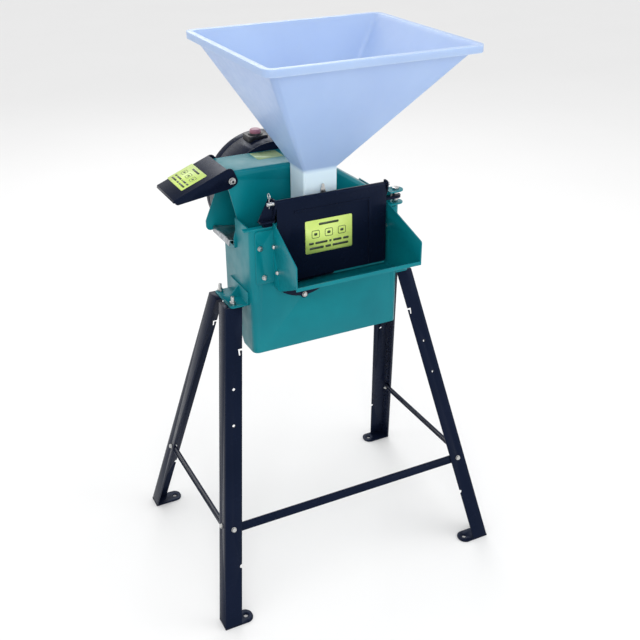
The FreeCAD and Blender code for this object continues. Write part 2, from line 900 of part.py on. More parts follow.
def make_spout_floor():
    """Floor of the side outlet, with its folded lip."""
    meet = around(chamber_radius + sieve_sheet + sieve_seat_gap, -90 - sieve_half_deg, 0)
    points = [(spout_left_x, spout_floor_z), (meet.x, meet.z + sheet), (meet.x, meet.z),
              (spout_left_x + sheet, spout_floor_z - sheet), (spout_left_x + sheet,
                                                              spout_floor_z - spout_lip_drop),
              (spout_left_x, spout_floor_z - spout_lip_drop)]
    return plate_y(points, casing_inner_front_y, casing_inner_back_y,
                   [chamber_panel_corner_radius, 0, 0, 0, 0, 0])


def make_chamber_left_panel():
    """Side panel below the outlet, with the strip that closes the step to the body wall."""
    x0 = chamber_left_panel_x
    bottom = discharge_line_z(casing_inner_front_y) + sheet * 2
    back_bottom = discharge_line_z(casing_inner_back_y) + sheet * 2
    top = spout_floor_z - sheet - chamber_panel_top_gap
    panel = plate_x([(casing_inner_front_y, bottom), (casing_inner_back_y, back_bottom),
                     (casing_inner_back_y, top),
                     (casing_inner_front_y, top)], x0, x0 + sheet)
    strip_back = left_wall_back_y
    strip = box(-body_inner_x, x0, strip_back - sheet, strip_back, discharge_line_z(strip_back) + sheet * 2,
                left_wall_top_z)
    return panel.fuse(strip)


def make_discharge_guide():
    """Slanted plate that turns milled product to the open bottom."""
    y0 = discharge_front_y
    y1 = casing_back_y
    z0 = discharge_line_z(y0)
    z1 = discharge_line_z(y1)
    shape = plate_x([(y0, z0), (y1, z1), (y1, z1 + sheet), (y0, z0 + sheet * guide_foot_share)],
                    -body_inner_x,
                    body_inner_x)
    corner = box(-body_half_x, chamber_left_panel_x, left_wall_back_y, y1 + 1, body_bottom_z,
                 z1 + cut_reach)
    return shape.cut(corner)


def make_mouth_ring():
    """Pressed ring with a sleeve around the front mouth, cut flat beside the tray's left flange."""
    front = body_front_y - sheet
    flange = rod(V(mouth_x, front, mouth_z), V(mouth_x, body_front_y, mouth_z), mouth_flange_radius)
    tab = rod(V(mouth_x, front, mouth_bolt_z), V(mouth_x, body_front_y, mouth_bolt_z),
              m6_radius * mouth_tab_share)
    flat_x = tray_left_back_x + tray_sheet + bolt_hole_gap
    flat = box(mouth_x - mouth_flange_radius - 1, flat_x, front - 1, body_front_y + 1,
               mouth_z - mouth_flange_radius, mouth_z + mouth_flange_radius)
    sleeve = mouth_opening(front, body_inner_front_y + mouth_sleeve_depth, sheet)
    opening = mouth_opening(front - 1, body_inner_front_y + mouth_sleeve_depth + 1)
    return flange.cut(flat).fuse([tab, sleeve]).cut([opening, front_bolt_holes()[-1]])


def make_inner_trough():
    """Trough that leads forage and grain from the front mouth to the rotor inlet."""
    outer = box(trough_left_x, trough_right_x, body_inner_front_y, casing_front_y,
                mouth_sill_z - sheet - trough_sheet * 2, trough_wall_top_z)
    inner = box(trough_left_x + trough_sheet, trough_right_x - trough_sheet, body_inner_front_y - 1,
                casing_front_y + 1, mouth_sill_z - sheet - trough_sheet, trough_wall_top_z + 1)
    sleeve = mouth_opening(body_inner_front_y - 1, body_inner_front_y + mouth_sleeve_depth + 1,
                           sheet + sleeve_gap)
    return outer.cut([inner, sleeve])


# ---------------------------------------------------------------- feed tray and guard flap

def tray_x(side, y):
    """Outer face of a tray wing at a depth."""
    back = tray_left_back_x if side < 0 else tray_right_back_x
    front = tray_left_front_x if side < 0 else tray_right_front_x
    share = (body_front_y - y) / (body_front_y - tray_front_y)
    return back + (front - back) * share


def tray_floor_z(y):
    """Height of the tray floor's top face at a depth, on either side of its bend."""
    if y < tray_bend_y:
        return tray_lip_z - (y - tray_front_y) * (tray_lip_z - tray_bend_z) / (tray_bend_y - tray_front_y)
    return tray_bend_z - (y - tray_bend_y) * (tray_bend_z - tray_back_z) / (body_front_y - tray_bend_y)


def wing_seat(side, y, z):
    """Outer face of a wing at a rivet or a stop stud."""
    return V(tray_x(side, y), y, z)


def wing_normal(side):
    """Outward normal of a tray wing."""
    run = wing_seat(side, tray_front_y, 0) - wing_seat(side, body_front_y, 0)
    return facing(run.cross(V(0, 0, 1)), V(side, 0, 0))


flap_barrel_radius = flap_rod_radius + pivot_clearance + flap_knuckle_wall
stop_drop = flap_rod_z - stop_stud_z
stop_lean = stop_drop * math.sin(math.radians(flap_lean_deg))
flap_back_y = flap_rod_y - (flap_barrel_radius - flap_sheet) - stop_lean
stop_line_y = flap_back_y + stop_bumper_radius + rest_gap


def stop_length(side):
    """Length of a stop stud, from the wing's outer face to past the flap's edge."""
    flap_edge = flap_left_x if side < 0 else flap_right_x
    return abs(flap_edge - tray_x(side, stop_line_y)) + stop_overlap


def stop_stud_y(side):
    """Depth of a stop stud's seat, set back so its tilted inner end clears the flap too."""
    return stop_line_y + max(0.0, wing_normal(side).y) * stop_length(side)


wing_pin_places = [(-1, tray_rivet_y, tray_rivet_z), (-1, stop_stud_y(-1), stop_stud_z),
                   (1, stop_stud_y(1), stop_stud_z)]


def make_feed_tray():
    """Folded tray: sloping floor, two wings and the flanges that bolt to the front plate."""
    back = body_front_y - tray_back_gap
    front = tray_front_y
    under = V(0, 0, -tray_sheet)
    pieces = []
    for near, far in ((front, tray_bend_y), (tray_bend_y, back)):
        corners = [V(tray_x(-1, near), near, tray_floor_z(near)),
                   V(tray_x(1, near), near, tray_floor_z(near)),
                   V(tray_x(1, far), far, tray_floor_z(far)), V(tray_x(-1, far), far, tray_floor_z(far))]
        pieces.append(plate(corners, under))
    hem = box(tray_x(-1, front), tray_x(1, front), front, front + tray_sheet, tray_lip_z - tray_hem,
              tray_lip_z)
    pieces.append(hem)
    for side in (-1, 1):
        wall_back = body_front_y - tray_sheet
        wing = [V(tray_x(side, wall_back), wall_back, tray_floor_z(back) - tray_sheet),
                V(tray_x(side, tray_bend_y), tray_bend_y, tray_bend_z - tray_sheet),
                V(tray_x(side, front), front, tray_lip_z - tray_sheet),
                V(tray_x(side, front), front, tray_knee_z),
                V(tray_x(side, wall_back), wall_back, tray_wing_top_z)]
        pieces.append(plate(wing, V(-side * tray_sheet, 0, 0), [0, 0, 0, tray_corner_radius, 0]))
        root = tray_x(side, body_front_y) - side * tray_sheet
        outer = side * tray_flange_outer_x
        x0, x1 = sorted((root, outer))
        flange_points = [(x0, tray_flange_bottom_z), (x1, tray_flange_bottom_z), (x1, tray_flange_top_z),
                         (x0, tray_flange_top_z)]
        pieces.append(plate_y(flange_points, body_front_y - tray_sheet, body_front_y,
                              [tray_corner_radius] * 4))
    shape = pieces[0].fuse(pieces[1:])
    cuts = front_bolt_holes()[:-1]
    for side, y, z in wing_pin_places:
        cuts.append(bolt_hole(wing_seat(side, y, z), wing_normal(side), tray_sheet + rivet_head,
                              rivet_radius))
    return shape.cut(cuts)


def make_front_bolts():
    """Four tray bolts, the mouth ring bolt, the wing rivet and the two stop studs of the guard flap."""
    grip = sheet + tray_sheet
    front = body_front_y - tray_sheet
    pieces = [bolt(V(x, front, z), V(0, -1, 0), grip, m6_radius) for x, z in tray_bolt_places]
    pieces.append(bolt(V(mouth_x, body_front_y - sheet, mouth_bolt_z), V(0, -1, 0), sheet * 2, m6_radius))
    for side, y, z in wing_pin_places:
        normal = wing_normal(side)
        seat = wing_seat(side, y, z)
        inside = seat - normal * tray_sheet
        is_stop = z == stop_stud_z
        reach = stop_length(side) - tray_sheet if is_stop else rivet_head
        end = inside - normal * reach
        head = Part.makeSphere(rivet_radius * rivet_head_share, seat, normal, 0, 90, 360)
        shank = rod(seat, end, rivet_radius)
        closing = rod(inside, end, stop_bumper_radius if is_stop else rivet_radius * rivet_tail_share)
        pieces.append(head.fuse([shank, closing]).removeSplitter())
    return group(pieces)


rod_left_x = flap_left_x - flap_end_gap - flap_bracket_sheet * 2 - 12
rod_right_x = flap_right_x + flap_end_gap + flap_bracket_sheet
flap_centre = V(0, flap_rod_y, flap_rod_z)


def rod_bore(radius, x0, x1):
    """Round bar or bore on the guard flap's hinge line."""
    return rod(V(x0, flap_rod_y, flap_rod_z), V(x1, flap_rod_y, flap_rod_z), radius)


def flap_ear(x0, bottom):
    """Upright ear that holds an end of the flap rod."""
    back = body_front_y
    points = [(back, bottom), (back, flap_rod_z + flap_ear_half),
              (flap_rod_y - flap_ear_half, flap_rod_z + flap_ear_half),
              (flap_rod_y - flap_ear_half, flap_rod_z - flap_ear_half), (back - flap_ear_foot, bottom)]
    ear = plate_x(points, x0, x0 + flap_bracket_sheet,
                  [0, flap_ear_root_radius, flap_ear_radius, flap_ear_radius, 0])
    return ear.cut(rod_bore(flap_rod_radius + pivot_clearance, x0 - 1, x0 + flap_bracket_sheet + 1))


left_ear_x = flap_left_x - flap_end_gap - flap_bracket_sheet
left_bracket_bottom_z = 900.0
left_bracket_far_x = -166.0
left_bracket_lip = 14.0


def make_flap_bracket_left():
    """Triangular bracket with a folded lip and the left rod ear."""
    back = body_front_y
    inner = left_ear_x + flap_bracket_sheet
    face = plate_y([(left_bracket_far_x, left_bracket_bottom_z), (inner, left_bracket_bottom_z),
                    (inner, flap_rod_z + flap_ear_half),
                    (left_ear_x - flap_face_reach, flap_rod_z + flap_ear_half)],
                   back, back + flap_bracket_sheet, [0, 0, 0, flap_ear_root_radius])
    lip = box(left_bracket_far_x, left_ear_x, back - left_bracket_lip, back + flap_bracket_sheet,
              left_bracket_bottom_z, left_bracket_bottom_z + flap_bracket_sheet)
    foot = box(left_ear_x - flap_foot_width, left_ear_x + flap_bracket_sheet, back, back + ledge_depth - 1,
               body_top_z,
               body_top_z + flap_bracket_sheet)
    stem = box(left_ear_x - flap_foot_width, left_ear_x + flap_bracket_sheet, back,
               back + flap_bracket_sheet, body_top_z,
               left_bracket_bottom_z + 1)
    return face.fuse([lip, foot, stem, flap_ear(left_ear_x, left_bracket_bottom_z)])


right_ear_x = flap_right_x + flap_end_gap


def ear_outline(left_x, radius):
    """Plan of a rounded tab about the upright pin."""
    back = body_front_y + radius
    front = body_front_y - radius
    right = ear_pin_x + radius
    points = [(left_x, front), (right, front), (right, back), (left_x, back)]
    return points, [0, radius * full_round, radius * full_round, 0]


def pin_bore(radius, z0, z1):
    """Round bar or bore on the upright pin."""
    return rod(V(ear_pin_x, body_front_y, z0), V(ear_pin_x, body_front_y, z1), radius)


def make_hinge_ears():
    """Two green tabs, one above the other, on a post at the body's top right corner."""
    points, radii = ear_outline(ear_left_x, ear_round_radius)
    lower = plate_z(points, lower_ear_z, lower_ear_z + ear_sheet, radii)
    upper = plate_z(points, upper_ear_z, upper_ear_z + ear_sheet, radii)
    post = box(ear_left_x, ear_left_x + ear_post_width, body_front_y + ear_post_setback,
               body_front_y + ear_post_setback + sheet,
               body_top_z,
               upper_ear_z + ear_sheet)
    bores = [pin_bore(ear_pin_radius + bolt_hole_gap, body_top_z, upper_ear_z + pin_bore_reach)]
    return lower.fuse([upper, post]).cut(bores)


def make_flap_bracket_right():
    """Tongue held between the ears, with the right rod ear."""
    radius = ear_round_radius * tongue_round_share
    points, radii = ear_outline(right_ear_x, radius)
    tongue = plate_z(points, tongue_z, tongue_z + tongue_sheet, radii)
    room = box(ear_left_x - 1, ear_left_x + ear_post_width + 1, body_front_y + ear_room_setback,
               body_front_y + ear_room_depth,
               tongue_z - 1,
               tongue_z + tongue_sheet + 1)
    ear = flap_ear(right_ear_x, tongue_z)
    return tongue.fuse(ear).cut([pin_bore(ear_pin_radius + bolt_hole_gap, tongue_z - 1,
                                          tongue_z + pin_bore_reach), room])


def make_ear_pin():
    """Upright pin through the ears and the tongue, with a head above and a collar each side of the tongue."""
    top = upper_ear_z + ear_sheet
    shank = pin_bore(ear_pin_radius, body_top_z + bolt_hole_gap, top)
    head = pin_bore(ear_pin_radius * ear_pin_head_share, top, top + ear_pin_head_height)
    low_collar = pin_bore(ear_pin_radius * ear_pin_collar_share, lower_ear_z + ear_sheet, tongue_z)
    high_collar = pin_bore(ear_pin_radius * ear_pin_collar_share, tongue_z + tongue_sheet, upper_ear_z)
    return shank.fuse([head, low_collar, high_collar])


def make_flap_rod():
    """Hinge rod of the guard flap."""
    bar = rod_bore(flap_rod_radius, rod_left_x, rod_right_x + rod_end_reach)
    clip_hole = rod(V(rod_left_x + clip_inset, flap_rod_y, flap_rod_z - clip_reach),
                    V(rod_left_x + clip_inset, flap_rod_y, flap_rod_z + clip_reach), clip_hole_radius)
    return bar.cut(clip_hole)


def make_rod_clip():
    """Spring clip through the rod's left end."""
    x = rod_left_x + clip_inset
    leg_low = V(x, flap_rod_y, flap_rod_z - clip_reach)
    leg_high = V(x, flap_rod_y, flap_rod_z + clip_rise)
    straight = rod(leg_low, leg_high, 1.0)
    curl = Part.makeTorus(clip_curl_radius, clip_wire_radius,
                          V(x, flap_rod_y, flap_rod_z + clip_rise + clip_curl_radius), V(1, 0, 0))
    return straight.fuse(curl)


def flap_frame(shape):
    """Lean a flap piece that was drawn upright below the rod."""
    return turned(shape, flap_centre, V(1, 0, 0), -flap_lean_deg)


def make_front_flap():
    """Guard flap: knuckle tube, face sheet, stiffening crease and folded top."""
    barrel = flap_barrel_radius
    face_front = flap_rod_y - barrel
    bottom = flap_rod_z - flap_length
    face = plate_y([(flap_left_x, bottom), (flap_right_x, bottom), (flap_right_x, flap_rod_z),
                    (flap_left_x, flap_rod_z)], face_front, face_front + flap_sheet,
                    [flap_corner_radius, flap_corner_radius, 0, 0])
    knuckle = rod_bore(barrel, flap_left_x, flap_right_x)
    crease = box(flap_crease_x, flap_crease_x + flap_crease_width, face_front - flap_crease_height,
                 face_front,
                 bottom + flap_crease_bottom_gap, flap_rod_z - flap_crease_top_gap)
    fold = box(flap_left_x + flap_fold_inset, flap_crease_x + flap_crease_width,
               face_front - flap_crease_height,
               face_front,
               flap_rod_z - flap_fold_low, flap_rod_z - flap_fold_high)
    solid = face.fuse([knuckle, crease, fold])
    solid = solid.cut(rod_bore(flap_rod_radius + pivot_clearance, flap_left_x - 1, flap_right_x + 1))
    return flap_frame(solid)


# ---------------------------------------------------------------- deflector

def make_side_flap():
    """Deflector over the side outlet: sloping plate with two side flanges."""
    front = casing_front_y - deflector_side_gap - deflector_sheet
    back = casing_back_y + deflector_side_gap + deflector_sheet
    cx = deflector_axis_x
    cz = deflector_axis_z
    top = cz + deflector_height
    left = cx - deflector_reach
    right = cx + deflector_height * deflector_root_share
    side_points = [(right, top), (left, top), (left, top - deflector_tip_drop),
                   (cx - deflector_root_reach, cz - deflector_root_drop),
                   (right, cz - deflector_root_drop + 2)]
    side_radii = [deflector_back_radius, 0, deflector_tip_radius, deflector_root_radius,
                  deflector_back_radius]
    pieces = [plate_y(side_points, front, front + deflector_sheet, side_radii)]
    pieces.append(plate_y(side_points, back - deflector_sheet, back, side_radii))
    roof_points = [(right - deflector_back_radius, top), (left, top),
                   (left - deflector_lip_reach, top - deflector_lip_drop),
                   (left - 1, top - deflector_lip_under),
                   (left + 2, top - deflector_sheet),
                   (right - deflector_back_radius, top - deflector_sheet)]
    pieces.append(plate_y(roof_points, front, back))
    solid = pieces[0].fuse(pieces[1:])
    bores = [pivot_hole(front - 1, front + deflector_sheet + 1, m8_radius + pivot_clearance)]
    bores.append(pivot_hole(back - deflector_sheet - 1, back + 1, m8_radius + pivot_clearance))
    solid = solid.cut(bores)
    return turned(solid, V(cx, 0, cz), V(0, 1, 0), -deflector_slope_deg)


def make_side_flap_pivots():
    """Two pivot bolts of the deflector."""
    front = casing_front_y - deflector_side_gap - deflector_sheet - deflector_side_gap
    back = casing_back_y + deflector_side_gap + deflector_sheet + deflector_side_gap
    bolts = []
    for head_y, plate_y_face, outward in ((front, casing_inner_front_y, -1),
                                          (back, casing_inner_back_y, 1)):
        head_seat = V(deflector_axis_x, head_y, deflector_axis_z)
        grip = abs(plate_y_face - head_y)
        bolts.append(bolt(head_seat, V(0, outward, 0), grip, m8_radius, 1.0))
    return group(bolts)


# ---------------------------------------------------------------- hopper and gate

def rounded_rectangle(x0, x1, y0, y1, z, radius):
    """Horizontal rectangle with round corners."""
    points = [V(x0, y0, z), V(x1, y0, z), V(x1, y1, z), V(x0, y1, z)]
    return outline(points, [radius] * 4)


def hopper_solid(inset):
    """Funnel and neck, pushed inwards by an inset."""
    rim_radius = rim_corner_radius - rim_ledge - inset * 0.5
    neck_radius = neck_corner_radius - inset
    top_z = rim_top_z - (0 if inset else hopper_wall) + (1 if inset else 0)
    rim = rounded_rectangle(rim_left_x + rim_ledge + inset, rim_right_x - rim_ledge - inset,
                            rim_front_y + rim_ledge + inset, rim_back_y - rim_ledge - inset, top_z,
                            rim_radius)
    throat = rounded_rectangle(neck_left_x + inset, neck_right_x - inset, neck_front_y + inset,
                               neck_back_y - inset,
                               neck_top_z, neck_radius)
    funnel = Part.makeLoft([rim, throat], True, True)
    bottom = neck_bottom_z - (1 if inset else 0)
    foot = rounded_rectangle(neck_left_x + inset, neck_right_x - inset, neck_front_y + inset,
                             neck_back_y - inset,
                             bottom, neck_radius)
    neck = Part.Face(foot).extrude(V(0, 0, neck_top_z - bottom))
    return funnel.fuse(neck)


gate_slot_low = gate_z - gate_slot_gap
gate_slot_high = gate_z + gate_sheet + gate_slot_gap


def make_hopper():
    """White plastic hopper: rim, funnel and neck, with the slots for the gate."""
    rim_face = Part.Face(rounded_rectangle(rim_left_x, rim_right_x, rim_front_y, rim_back_y,
                                           rim_top_z - rim_skirt,
                                           rim_corner_radius))
    rim_block = rim_face.extrude(V(0, 0, rim_skirt))
    inner_face = Part.Face(rounded_rectangle(rim_left_x + hopper_wall, rim_right_x - hopper_wall,
                                             rim_front_y + hopper_wall, rim_back_y - hopper_wall,
                                             rim_top_z - rim_skirt - 1, rim_corner_radius - hopper_wall))
    rim_hollow = inner_face.extrude(V(0, 0, rim_skirt - hopper_wall + 1))
    rim = rim_block.cut(rim_hollow)
    shell = rim.fuse(hopper_solid(0)).cut(hopper_solid(hopper_wall))
    side_slot = box(neck_right_x - neck_corner_radius - 1, neck_right_x + 1, neck_front_y - 1,
                    neck_back_y - hopper_wall,
                    gate_slot_low, gate_slot_high)
    front_slot = box(neck_left_x + hopper_wall, neck_right_x + 1, neck_front_y - 1,
                     neck_front_y + hopper_wall + 1,
                     gate_slot_low, gate_slot_high)
    return shell.cut([side_slot, front_slot] + hopper_screw_holes())


def make_hopper_pad():
    """Spacer between the neck and the casing."""
    middle = (neck_left_x + neck_right_x) / 2
    pad = box(middle - hopper_pad_half_width, middle + hopper_pad_half_width, neck_back_y, casing_front_y,
              hopper_screw_z - hopper_pad_half_height, hopper_screw_z + hopper_pad_half_height)
    return pad.cut(hopper_screw_holes())


def make_hopper_screws():
    """Two screws through the neck, the pad and the casing."""
    inside = neck_back_y - hopper_wall
    return group([bolt(V(x, inside, hopper_screw_z), V(0, -1, 0), hopper_grip, m6_radius, 1.0)
                  for x in hopper_screw_places])


def make_gate_slide():
    """Flat gate across the neck, with its upturned handle in front."""
    margin = hopper_wall + gate_slot_gap
    left = neck_left_x + margin
    right = neck_right_x - margin
    front = neck_front_y + margin
    back = neck_back_y - margin
    leaf = plate_z([(left, front), (right, front), (right, back), (left, back)], gate_z,
                   gate_z + gate_sheet,
                   [neck_corner_radius - hopper_wall] * 4)
    arm = box(gate_handle_left_x, gate_handle_right_x, gate_handle_front_y, neck_front_y + hopper_wall + 2,
              gate_z,
              gate_z + gate_sheet)
    middle = (gate_handle_left_x + gate_handle_right_x) / 2
    tip = gate_handle_tip_width / 2
    handle = plate_y([(gate_handle_left_x, gate_z), (gate_handle_right_x, gate_z),
                      (gate_handle_right_x, gate_handle_top_z - gate_handle_taper),
                      (middle + tip, gate_handle_top_z),
                      (middle - tip, gate_handle_top_z),
                      (gate_handle_left_x, gate_handle_top_z - gate_handle_taper)],
                     gate_handle_front_y, gate_handle_front_y + gate_sheet,
                     [0, 0, gate_shoulder_radius, gate_tip_radius, gate_tip_radius, gate_shoulder_radius])
    return leaf.fuse([arm, handle])


# ---------------------------------------------------------------- rotor

def pin_centre(index, y):
    """Centre of a hammer pin at a depth."""
    return around(hammer_pin_circle, first_hammer_deg + 360 / hammer_count * index, y)


front_disc_back_y = front_disc_y + disc_sheet
back_disc_back_y = back_disc_y + disc_sheet
key_room = box(axis_x - key_width / 2, axis_x + key_width / 2, front_disc_back_y + key_end_gap,
               back_disc_y - key_end_gap, axis_z + shaft_radius - key_height / 2,
               axis_z + shaft_radius + key_height / 2)


def knife_bolt_seats(side):
    """Front face of a knife at its two bolts."""
    return [V(axis_x + side * reach, front_disc_y - knife_sheet, axis_z) for reach in knife_bolt_circles]


knife_grip = knife_sheet + disc_sheet


def make_rotor_body():
    """Welded rotor: hub and two discs with the hammer pin holes."""
    hub = rod(V(axis_x, front_disc_y, axis_z), V(axis_x, back_disc_back_y, axis_z), hub_radius)
    front = rod(V(axis_x, front_disc_y, axis_z), V(axis_x, front_disc_back_y, axis_z), disc_radius)
    back = rod(V(axis_x, back_disc_y, axis_z), V(axis_x, back_disc_back_y, axis_z), disc_radius)
    cuts = [rod(V(axis_x, front_disc_y - 1, axis_z), V(axis_x, back_disc_back_y + 1, axis_z), shaft_radius),
            key_room]
    for index in range(hammer_count):
        cuts.append(rod(pin_centre(index, front_disc_y - 1), pin_centre(index, back_disc_back_y + 1),
                        hammer_pin_radius))
    for side in (-1, 1):
        cuts += [bolt_hole(seat, V(0, -1, 0), knife_grip, m6_radius) for seat in knife_bolt_seats(side)]
    return hub.fuse([front, back]).cut(cuts)


def make_rotor_shaft():
    """Motor shaft that carries the rotor, the motor core and the fan."""
    bar = rod(V(axis_x, shaft_front_y, axis_z), V(axis_x, shaft_back_y, axis_z), shaft_radius)
    return bar.cut(key_room)


def make_rotor_nut():
    """Nut with washer on the shaft's front end."""
    start = V(axis_x, front_disc_y - rotor_nut_sheet, axis_z)
    nut = hexagon(start, V(0, 1, 0), rotor_nut_radius * rotor_nut_flat_share, rotor_nut_sheet - 2)
    washer = rod(V(axis_x, front_disc_y - 2, axis_z), V(axis_x, front_disc_y, axis_z),
                 rotor_nut_radius * rotor_washer_share)
    bore = rod(V(axis_x, shaft_front_y - 1, axis_z), V(axis_x, front_disc_y + 1, axis_z), shaft_radius)
    return nut.fuse(washer).cut(bore)


def make_hammer_pins():
    """Four pins through the rotor discs, with a head at each end."""
    pins = []
    for index in range(hammer_count):
        shank = rod(pin_centre(index, front_disc_y - pin_head_sheet),
                    pin_centre(index, back_disc_back_y + pin_head_sheet), hammer_pin_radius)
        front = rod(pin_centre(index, front_disc_y - pin_head_sheet), pin_centre(index, front_disc_y),
                    pin_head_radius)
        back = rod(pin_centre(index, back_disc_back_y),
                   pin_centre(index, back_disc_back_y + pin_head_sheet),
                   pin_head_radius)
        pins.append(shank.fuse([front, back]))
    return group(pins)


def make_hammer(index):
    """Swinging hammer that hangs straight down from its pin."""
    centre = pin_centre(index, 0)
    y0 = front_disc_back_y + hammer_side_gap
    y1 = back_disc_y - hammer_side_gap
    half = hammer_half_width
    low = centre.z - hammer_tip_reach
    high = centre.z + half
    points = [(centre.x - half, low), (centre.x + half, low), (centre.x + half, high),
              (centre.x - half, high)]
    block = plate_y(points, y0, y1, [1, 1, half * full_round, half * full_round])
    return block.cut(rod(V(centre.x, y0 - 1, centre.z), V(centre.x, y1 + 1, centre.z),
                         hammer_pin_radius + hammer_pin_gap))


def make_knives():
    """Two forage knives on the front disc."""
    blades = []
    for side in (-1, 1):
        near = axis_x + side * knife_inner
        far = axis_x + side * knife_outer
        points = [(near, axis_z - knife_half_width), (far, axis_z - knife_half_width),
                  (far, axis_z + knife_half_width - knife_edge_bevel), (near, axis_z + knife_half_width)]
        blade = plate_y(points, front_disc_y - knife_sheet, front_disc_y, [knife_corner_radius] * 4)
        blades.append(blade.cut([bolt_hole(seat, V(0, -1, 0), knife_grip, m6_radius)
                                 for seat in knife_bolt_seats(side)]))
    return group(blades)


def make_knife_bolts():
    """Four bolts of the forage knives."""
    bolts = []
    for side in (-1, 1):
        bolts += [bolt(seat, V(0, -1, 0), knife_grip, m6_radius, 1.0) for seat in knife_bolt_seats(side)]
    return group(bolts)


# ---------------------------------------------------------------- motor

def on_axis(y):
    """Point on the rotor axis."""
    return V(axis_x, y, axis_z)


shield_back_y = casing_back_y + shield_sheet
rear_shield_y = motor_drum_back_y - shield_sheet
motor_inner_radius = motor_radius - motor_wall


def shield(plate_from, plate_to, boss_to, outer):
    """End shield: disc with the boss that holds a bearing."""
    disc = rod(on_axis(plate_from), on_axis(plate_to), outer)
    boss = rod(on_axis(plate_from), on_axis(boss_to), bearing_outer_radius + bearing_boss_wall)
    return disc.fuse(boss)


def make_motor_front_shield():
    """Front end shield with the bearing seat."""
    solid = shield(casing_back_y, shield_back_y, shield_back_y + bearing_width, motor_radius)
    seat = rod(on_axis(shield_back_y), on_axis(shield_back_y + bearing_width + 1),
               bearing_outer_radius + bearing_seat_gap)
    bore = rod(on_axis(casing_back_y - 1), on_axis(shield_back_y + 1), shaft_radius + shaft_hole_gap)
    return solid.cut([seat, bore] + motor_screw_holes())


def make_motor_rear_shield():
    """Rear end shield inside the drum."""
    solid = shield(rear_shield_y, motor_drum_back_y, rear_shield_y - bearing_width, motor_inner_radius)
    seat = rod(on_axis(rear_shield_y), on_axis(rear_shield_y - bearing_width - 1),
               bearing_outer_radius + bearing_seat_gap)
    bore = rod(on_axis(rear_shield_y - 1), on_axis(motor_drum_back_y + 1), shaft_radius + shaft_hole_gap)
    return solid.cut([seat, bore])


def gland_bar(from_depth, to_depth, radius):
    """Round bar through the drum wall at the supply gland, measured from the drum's surface."""
    return rod(around(motor_radius + from_depth, gland_deg, gland_y),
               around(motor_radius + to_depth, gland_deg, gland_y), radius)


def make_motor_drum():
    """Round steel drum of the motor, with the hole for the supply gland."""
    drum = tube(on_axis(shield_back_y), on_axis(motor_drum_back_y), motor_radius, motor_inner_radius)
    return drum.cut(gland_bar(-motor_wall - 1, 1, gland_spigot_radius + bolt_hole_gap))


def make_bearings():
    """Two ball bearings, drawn as closed rings."""
    bore = shaft_radius + bearing_seat_gap
    front = tube(on_axis(shield_back_y), on_axis(shield_back_y + bearing_width), bearing_outer_radius, bore)
    back = tube(on_axis(rear_shield_y - bearing_width), on_axis(rear_shield_y), bearing_outer_radius, bore)
    return group([front, back])


def make_stator_core():
    """Laminated stator in the drum."""
    return tube(on_axis(stator_front_y), on_axis(stator_back_y), motor_inner_radius, stator_bore)


def make_stator_windings():
    """End turns of the windings on both faces of the stator."""
    front = tube(on_axis(stator_front_y - winding_reach), on_axis(stator_front_y), winding_outer,
                 winding_inner)
    back = tube(on_axis(stator_back_y), on_axis(stator_back_y + winding_reach), winding_outer,
                winding_inner)
    return group([front, back])


def make_motor_core():
    """Rotating core on the shaft."""
    return tube(on_axis(stator_front_y), on_axis(stator_back_y), stator_bore - air_gap, shaft_radius)


def make_motor_screws():
    """Four flush screws between the back plate and the motor."""
    screws = []
    for degrees in motor_screw_places():
        seat = around(motor_screw_circle, degrees, casing_inner_back_y)
        nut_at = around(motor_screw_circle, degrees, shield_back_y)
        head = rod(seat, seat + V(0, motor_screw_head, 0), m8_radius * 2)
        shank = rod(seat, nut_at + V(0, motor_screw_stud, 0), m8_radius)
        nut = hexagon(nut_at, V(0, 1, 0), m8_radius * head_width_share, motor_nut_height)
        screws.append(head.fuse([shank, nut]))
    return group(screws)


def make_fan():
    """Cooling fan on the shaft's rear end."""
    back = fan_front_y + fan_depth
    hub = rod(on_axis(fan_front_y), on_axis(back), fan_hub_radius)
    disc = rod(on_axis(fan_front_y), on_axis(fan_front_y + fan_blade_sheet), fan_radius * fan_disc_share)
    pieces = [disc]
    blade = box(axis_x + fan_hub_radius - fan_blade_sink, axis_x + fan_radius, fan_front_y, back,
                axis_z - fan_blade_sheet / 2,
                axis_z + fan_blade_sheet / 2)
    for index in range(fan_blade_count):
        pieces.append(turned(blade, on_axis(0), V(0, 1, 0), 360 / fan_blade_count * index))
    bore = rod(on_axis(fan_front_y - 1), on_axis(back + 1), shaft_radius)
    return hub.fuse(pieces).cut(bore)


def make_fan_cowl():
    """Rear cowl with radial air slots."""
    cup = rod(on_axis(motor_drum_back_y), on_axis(motor_back_y), motor_radius)
    bend = [edge for edge in cup.Edges if abs(edge.BoundBox.YMin - motor_back_y) < match_gap]
    cup = cup.makeFillet(cowl_bend_radius, bend[:1])
    hollow = rod(on_axis(motor_drum_back_y - 1), on_axis(motor_back_y - cowl_sheet),
                 motor_radius - cowl_sheet)
    inner_bend = [edge for edge in hollow.Edges if edge.BoundBox.YMin > motor_back_y - cowl_sheet - match_gap]
    hollow = hollow.makeFillet(cowl_bend_radius - cowl_sheet, inner_bend[:1])
    cuts = [hollow]
    slot = box(axis_x + cowl_slot_inner, axis_x + cowl_slot_outer, motor_back_y - cowl_sheet - 1,
               motor_back_y + 1,
               axis_z - cowl_slot_half_width, axis_z + cowl_slot_half_width)
    for index in range(cowl_slot_count):
        cuts.append(turned(slot, on_axis(0), V(0, 1, 0), 360 / cowl_slot_count * index))
    return cup.cut(cuts)


# ---------------------------------------------------------------- switch

